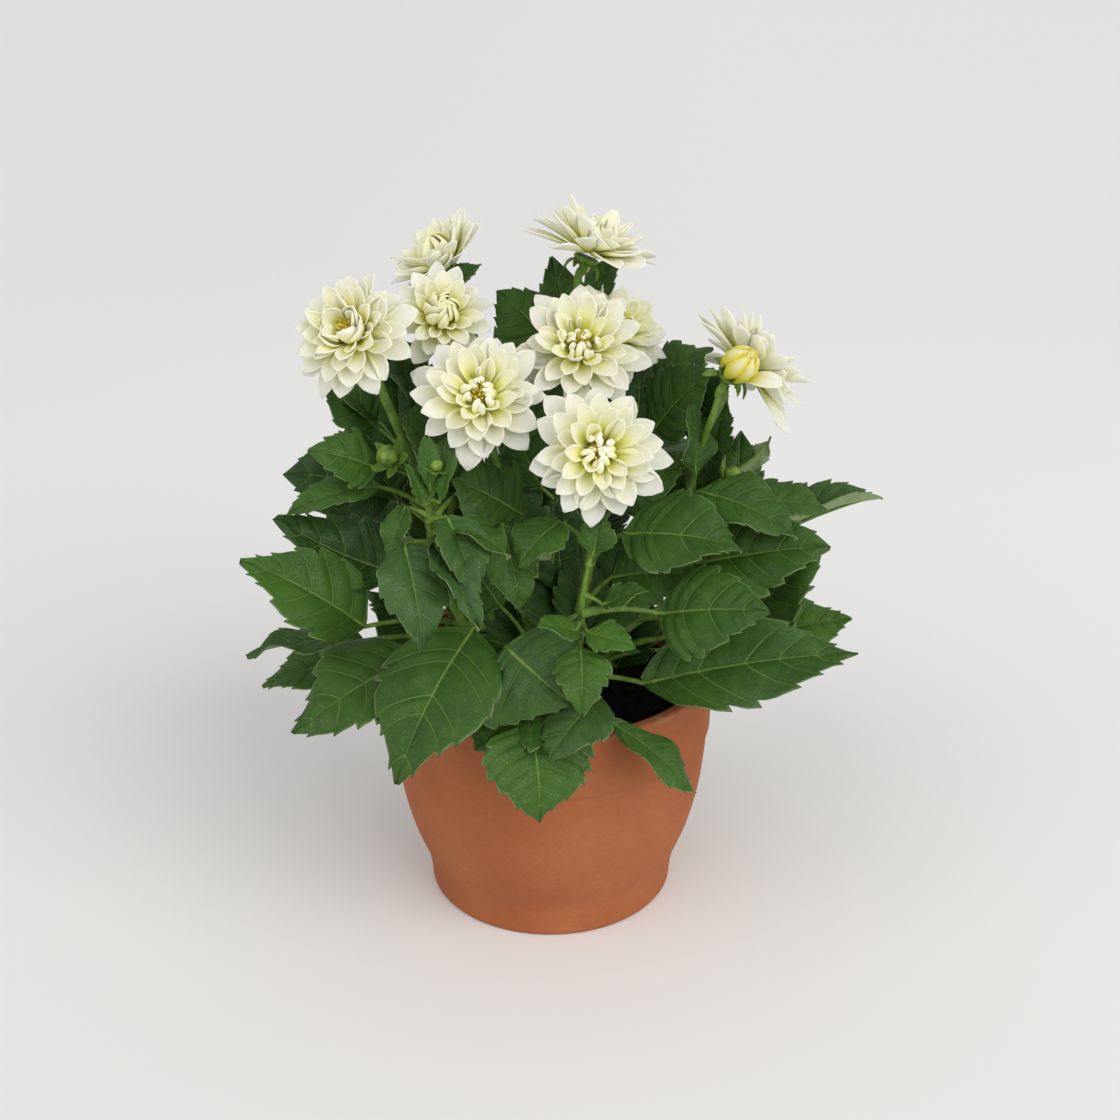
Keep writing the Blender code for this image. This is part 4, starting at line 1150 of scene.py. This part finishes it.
def kept_value(tree, name):
    """A number kept on the mesh's points."""
    node = tree.nodes.new("ShaderNodeAttribute")
    node.attribute_name = name
    return node.outputs["Fac"]


def raise_by(tree, shader, height, strength, distance):
    """Turns a height into relief on the shader."""
    node = tree.nodes.new("ShaderNodeBump")
    node.inputs["Strength"].default_value = strength
    node.inputs["Distance"].default_value = distance
    tree.links.new(height, node.inputs["Height"])
    tree.links.new(node.outputs["Normal"], shader.inputs["Normal"])


def blade_places(tree):
    """Places along, across from the middle to the margin, and across from margin to margin, all from 0 to 1."""
    along, whole, _ = parts_of(tree, tree.nodes.new("ShaderNodeUVMap").outputs["UV"])
    return along, sums(tree, "ABSOLUTE", sums(tree, "MULTIPLY_ADD", whole, 2.0, -1.0)), whole


def vein_shares(tree):
    """Shares of midrib and side veins at a place on a blade, and the place across it."""
    along, across, _ = blade_places(tree)
    count = times(tree, along, kept_value(tree, "veins"))
    from_middle = sums(tree, "SUBTRACT", sums(tree, "FRACT", sums(tree, "ADD", count, 0.5)), 0.5)
    line = eased(tree, sums(tree, "ABSOLUTE", from_middle), 0.008, 0.045, 1.0, 0.0)
    side_vein = times(tree, line, eased(tree, across, 0.4, 1.0, 1.0, 0.2))
    narrow = sums(tree, "MULTIPLY_ADD", along, -0.018, 0.040)
    midrib = sums(tree, "SUBTRACT", 1.0, sums(tree, "DIVIDE", across, narrow), clamp=True)
    return midrib, side_vein, across


def leaf_finish():
    """The upper side of the leaves: mottled green, paler veins and margin, dark tips on the teeth; the darker
    green on leaves inside and at the back is painted shade.
    """
    finish, tree, shader = new_finish("leaf_green", 0.46, 0.32)
    midrib, side_vein, across = vein_shares(tree)
    net = fine_net(tree, 0.10)
    # Green from dark to light by the kept shade value, which holds the leaf's own tone and painted shade for
    # leaves inside and at the back
    green = blended(tree, kept_value(tree, "shade"), (0.010, 0.044, 0.004), (0.060, 0.158, 0.007))
    coloured(
        tree, shader, green,
        (times(tree, kept_value(tree, "dull"), 0.60), (0.062, 0.124, 0.050)),
        (speckles(tree, 55, 4.0, 0.35, 0.70, 0.45), (0.012, 0.044, 0.007)),
        (speckles(tree, 240, 3.0, 0.42, 0.72, 0.26), (0.085, 0.175, 0.026)),
        (times(tree, net, 0.14), (0.065, 0.135, 0.022)),
        (times(tree, side_vein, 0.80), (0.130, 0.222, 0.050)),
        (times(tree, midrib, 0.85), (0.20, 0.30, 0.06)),
        (eased(tree, across, 0.955, 0.995, 0.0, 0.55), (0.22, 0.31, 0.12)),
        (eased(tree, kept_value(tree, "tooth_tip"), 0.45, 1.0, 0.0, 0.75), (0.045, 0.025, 0.020)),
    )
    put(tree, shader.inputs["Roughness"], eased(tree, mottle(tree, 90), 0.3, 0.7, 0.38, 0.54))
    relief = sums(tree, "MULTIPLY_ADD", net, -0.35, times(tree, side_vein, -0.9))
    relief = sums(tree, "ADD", relief, times(tree, mottle(tree, 900, 2.0), 0.25))
    raise_by(tree, shader, relief, 0.75, 0.0005)
    return finish


def leaf_underside():
    """The pale grey-green underside with standing veins."""
    finish, tree, shader = new_finish("leaf_underside", 0.72, 0.20)
    midrib, side_vein, _ = vein_shares(tree)
    veins = sums(tree, "MAXIMUM", side_vein, times(tree, fine_net(tree, 0.12), 0.4))
    veins = sums(tree, "MAXIMUM", midrib, veins)
    pale = blended(tree, speckles(tree, 70, 4.0, 0.3, 0.7), (0.24, 0.33, 0.15), (0.31, 0.40, 0.20))
    coloured(tree, shader, pale, (times(tree, veins, 0.6), (0.42, 0.50, 0.28)))
    raise_by(tree, shader, veins, 0.6, 0.0006)
    return finish


def stem_finish():
    """Fresh stems: light green with fine streaks and darker patches."""
    finish, tree, shader = new_finish("stem_green", 0.50, 0.30)
    streaks = blended(tree, speckles(tree, 260, 2.0, 0.35, 0.65), (0.088, 0.172, 0.021), (0.160, 0.260, 0.042))
    coloured(tree, shader, streaks, (speckles(tree, 38, 4.0, 0.50, 0.75, 0.35), (0.045, 0.095, 0.020)))
    raise_by(tree, shader, mottle(tree, 1500, 2.0), 0.35, 0.0002)
    return finish


def grainy_finish(name, roughness, gloss, scale, dark, light, grain):
    """A colour that wanders between dark and light, with a fine grain: green buds and florets."""
    finish, tree, shader = new_finish(name, roughness, gloss)
    coloured(tree, shader, blended(tree, speckles(tree, scale, 2.0, 0.35, 0.65), dark, light))
    raise_by(tree, shader, mottle(tree, grain, 2.0), 0.3, 0.0002)
    return finish


def petal_finish(name, pale, warm, throat, stripe, soft):
    """Petals: throat colour at the claw, pale towards the tip, warmer in the heart, finely ribbed. The throat and
    heart colours are partly the petals' own and partly painted warm shade in the deep parts.
    """
    finish, tree, shader = new_finish(name, 0.55, 0.25, Subsurface_Weight=soft, Subsurface_Scale=0.003,
                                      Subsurface_Radius=(1.0, 1.0, 0.6))
    along, across, whole = blade_places(tree)
    heart = kept_value(tree, "heart")
    tipward = sums(tree, "SUBTRACT", along, times(tree, heart, 0.12))
    middle = eased(tree, across, 0.15, 0.55, stripe, 0.0)
    ribs = sums(tree, "SINE", times(tree, whole, 58.0))
    # The throat colour at the claw and the warm colour in the heart are partly the petals' own yellow-green and
    # partly painted warm shade for the deep parts of the bloom
    coloured(
        tree, shader, blended(tree, eased(tree, tipward, 0.20, 0.78), warm, pale),
        (eased(tree, tipward, 0.10, 0.50, 1.0, 0.0), throat),
        (eased(tree, heart, 0.2, 1.0, 0.0, 0.50), warm),
        (eased(tree, across, 0.72, 1.0, 0.0, 0.45), warm if stripe else pale),
        (times(tree, middle, eased(tree, along, 0.40, 0.80)), (0.90, 0.88, 0.68)),
        (sums(tree, "MULTIPLY_ADD", ribs, 0.03, 0.03), (0.66, 0.66, 0.42)),
    )
    raise_by(tree, shader, sums(tree, "ADD", ribs, times(tree, mottle(tree, 500), 1.5)), 0.13, 0.0003)
    return finish


def terracotta_finish():
    """Fired clay: even orange, finely grained, faintly ringed by turning, paler in patches near the top of the
    rim.
    """
    finish, tree, shader = new_finish("terracotta", 0.80, 0.15)
    height = parts_of(tree, own_place(tree))["Z"]
    clay = blended(tree, speckles(tree, 16, 4.0, 0.30, 0.72), (0.346, 0.106, 0.040), (0.412, 0.143, 0.059))
    # Paler patches on the top of the rim
    rim_pale_patches = times(tree, eased(tree, height, 0.109, 0.1138, 0.0, 0.35), speckles(tree, 120, 4.0, 0.4, 0.6))
    coloured(
        tree, shader, clay,
        (speckles(tree, 420, 3.0, 0.40, 0.75, 0.22), (0.28, 0.080, 0.028)),
        (speckles(tree, 1400, 2.0, 0.62, 0.78, 0.30), (0.56, 0.27, 0.14)),
        (rim_pale_patches, (0.55, 0.28, 0.16)),
    )
    put(tree, shader.inputs["Roughness"], eased(tree, mottle(tree, 60), 0.3, 0.7, 0.70, 0.88))
    waves = sums(tree, "MULTIPLY_ADD", height, 2600.0, times(tree, mottle(tree, 30), 9.0))
    relief = sums(tree, "MULTIPLY_ADD", sums(tree, "SINE", waves), 0.12, mottle(tree, 900, 3.0))
    raise_by(tree, shader, relief, 0.30, 0.0004)
    return finish


def soil_finish():
    """Damp potting soil, nearly black with a few pale specks; the near-black is partly painted shade under the
    leaves.
    """
    finish, tree, shader = new_finish("soil", 0.90, 0.08)
    # The near-black is partly the soil's own dark colour and partly painted shade, as it lies in shade under the
    # leaves
    dark_soil_and_shade = blended(tree, speckles(tree, 320, 4.0, 0.35, 0.70), (0.0016, 0.0028, 0.0030), (0.009, 0.008, 0.006))
    coloured(tree, shader, dark_soil_and_shade, (speckles(tree, 1300, 1.0, 0.70, 0.78, 0.7), (0.11, 0.085, 0.055)))
    raise_by(tree, shader, mottle(tree, 700, 5.0, 0.7), 0.9, 0.0012)
    return finish


def floor_finish():
    """A pale floor with painted shade: a little darker to the left and behind."""
    finish, tree, shader = new_finish("floor_pale", 0.75, 0.10)
    place = parts_of(tree, own_place(tree))
    # Painted shade: darker towards the left
    sideways = sums(tree, "MULTIPLY_ADD", mottle(tree, 1.2), 0.1, place["X"])
    pale = blended(tree, eased(tree, sideways, -0.45, 0.45), (0.830, 0.824, 0.815), (0.872, 0.868, 0.860))
    # Painted shade: darker further behind
    coloured(tree, shader, pale, (eased(tree, place["Y"], 0.1, 1.2, 0.0, 0.55), (0.745, 0.742, 0.735)))
    return finish


# ---- The plant


def make_stem(name, number, sheets, petal_sheet, greens):
    """One stem with its leaves, green buds and bracts."""
    upper, under, stem_green, bud_green = greens
    stem = STEMS[name]
    draw = random.Random(STEM_SEED + number)
    points = stem_line(stem)
    leaves = [*stem.leaves, *INNER_LEAVES[name]]
    blades = joined(name + "_leaves", [leaf_blade(leaf, sheets, draw) for leaf in leaves])
    thickened(blades, BLADE_THICKNESS, upper, under)
    dress(blades, name)
    lines = [main_stalk(stem, points)] + [leaf_stalk(leaf, points) for leaf in leaves]
    buds = []
    scales = []
    for owner, height, centre, radius in GREEN_BUDS:
        if owner == name:
            bud, line, bracts = green_bud(petal_sheet, point_at_height(points, height), Vector(centre), radius)
            buds.append(bud)
            lines.append(line)
            scales += bracts
    if stem.bloom:
        scales += bracts_round(petal_sheet, BLOOMS[stem.bloom], BLOOM_BRACT, draw)
    if name == OPENING_BUD_STEM:
        lines.append(opening_bud_stalk(point_at_height(points, OPENING_BUD_JOINT)))
        scales += bracts_round(petal_sheet, OPENING_BUD, BUD_BRACT, draw)
    stalks = stalks_from(name + "_stalks", lines)
    stalks.data.materials.append(stem_green)
    for bud in buds:
        bud.data.materials.append(bud_green)
    stalks = joined(name + "_stalks", [stalks, *buds])
    stalks.data.shade_smooth()
    dress(stalks, name)
    if scales:
        ring = joined(name + "_bracts", scales)
        thickened(ring, BLADE_THICKNESS, stem_green)
        dress(ring, name)


def make_bloom(name, sheet, finishes, ochre):
    """One bloom: its broad petals, and a closed heart or short petals round florets."""
    bloom = BLOOMS[name]
    petals = joined(name + "_petals", bloom_petals(sheet, bloom))
    thickened(petals, PETAL_THICKNESS, finishes["petal_cream"], finishes["petal_underside"])
    dress(petals, name)
    if name in CLOSED_HEARTS:
        heart = joined(name + "_heart", closed_rings(sheet, bloom, CLOSED_HEART_RINGS, bloom.spin,
                                                     CLOSED_HEART_HEIGHT, CLOSED_HEART_LEAN))
        thickened(heart, PETAL_THICKNESS, finishes["petal_closed"])
    else:
        kind = STANDING_HEART if name in STANDING_HEARTS else ROLLED_HEART
        short = joined(name + "_heart_petals", heart_petals(sheet, bloom, *kind))
        thickened(short, PETAL_THICKNESS, finishes["petal_rolled"])
        dress(short, name)
        heart = joined(name + "_heart", bloom_florets(bloom))
        heart.data.materials.append(ochre)
        heart.data.shade_smooth()
    dress(heart, name)


def make_opening_bud(sheet, finishes):
    """The closed petals of the opening bud and the one that is laid back."""
    bud = joined("bud_petals", closed_rings(sheet, OPENING_BUD, BUD_RINGS, OPENING_BUD_SEED))
    laid_back = petal(sheet, seat_of(OPENING_BUD), axis_of(OPENING_BUD), *LAID_BACK_PETAL, PETAL_OUTLINE, 0.0)
    laid_back.name = "bud_petal_laid_back"
    for piece, look in ((bud, "bud_yellow"), (laid_back, "petal_yellow_foot")):
        thickened(piece, PETAL_THICKNESS, finishes[look], finishes[look])
        dress(piece, "opening_bud")


def make_plant():
    """The finishes, the flat sheets that blades and petals are shaped from, and every stem, bloom and bud."""
    bud_green = grainy_finish("bud_green", 0.50, 0.30, 330, (0.085, 0.165, 0.020), (0.20, 0.31, 0.05), 1200)
    ochre = grainy_finish("floret_ochre", 0.6, 0.3, 420, (0.46, 0.40, 0.035), (0.84, 0.72, 0.12), 1800)
    greens = (leaf_finish(), leaf_underside(), stem_finish(), bud_green)
    finishes = {name: petal_finish(name, *looks) for name, looks in PETAL_LOOKS.items()}
    sheets = {
        True: flat_sheet("large_blade", len(row_places(LARGE_TEETH)) - 1, BLADE_COLUMNS),
        False: flat_sheet("small_blade", len(row_places(SMALL_TEETH)) - 1, BLADE_COLUMNS),
    }
    petal_sheet = flat_sheet("petal_sheet", PETAL_ROWS, PETAL_COLUMNS)
    for number, name in enumerate(STEMS):
        make_stem(name, number, sheets, petal_sheet, greens)
    for name in BLOOMS:
        make_bloom(name, petal_sheet, finishes, ochre)
    make_opening_bud(petal_sheet, finishes)
    for sheet in (*sheets.values(), petal_sheet):
        bpy.data.objects.remove(sheet)


# ---- Floor, light and camera


def make_studio():
    """The floor, an even sky, two broad suns from the front and the camera."""
    floor = added(bpy.ops.mesh.primitive_plane_add, size=FLOOR_SIZE)
    floor.name = "floor"
    floor.data.materials.append(floor_finish())
    world = bpy.data.worlds.new("studio")
    world.use_nodes = True
    sky = world.node_tree.nodes["Background"]
    sky.inputs["Color"].default_value = SKY_COLOUR
    sky.inputs["Strength"].default_value = SKY_STRENGTH
    bpy.context.scene.world = world
    for place, spread, power in LAMPS:
        lamp = added(bpy.ops.object.light_add, type="SUN", location=place)
        lamp.rotation_euler = Vector(place).to_track_quat("Z", "Y").to_euler()
        lamp.data.angle = math.radians(spread)
        lamp.data.energy = power
        lamp.data.color = LAMP_COLOUR
    camera = added(bpy.ops.object.camera_add, location=CAMERA_PLACE, rotation=(CAMERA_TILT, 0, 0))
    camera.data.lens = CAMERA_LENS
    camera.data.sensor_width = CAMERA_SENSOR
    camera.data.clip_start = 0.01
    bpy.context.scene.camera = camera
    bpy.context.scene.view_settings.view_transform = "Standard"


make_pot(terracotta_finish())
earth = soil_finish()
make_soil(earth)
make_crumbs(earth)
make_plant()
make_studio()
bpy.ops.object.select_all(action="DESELECT")
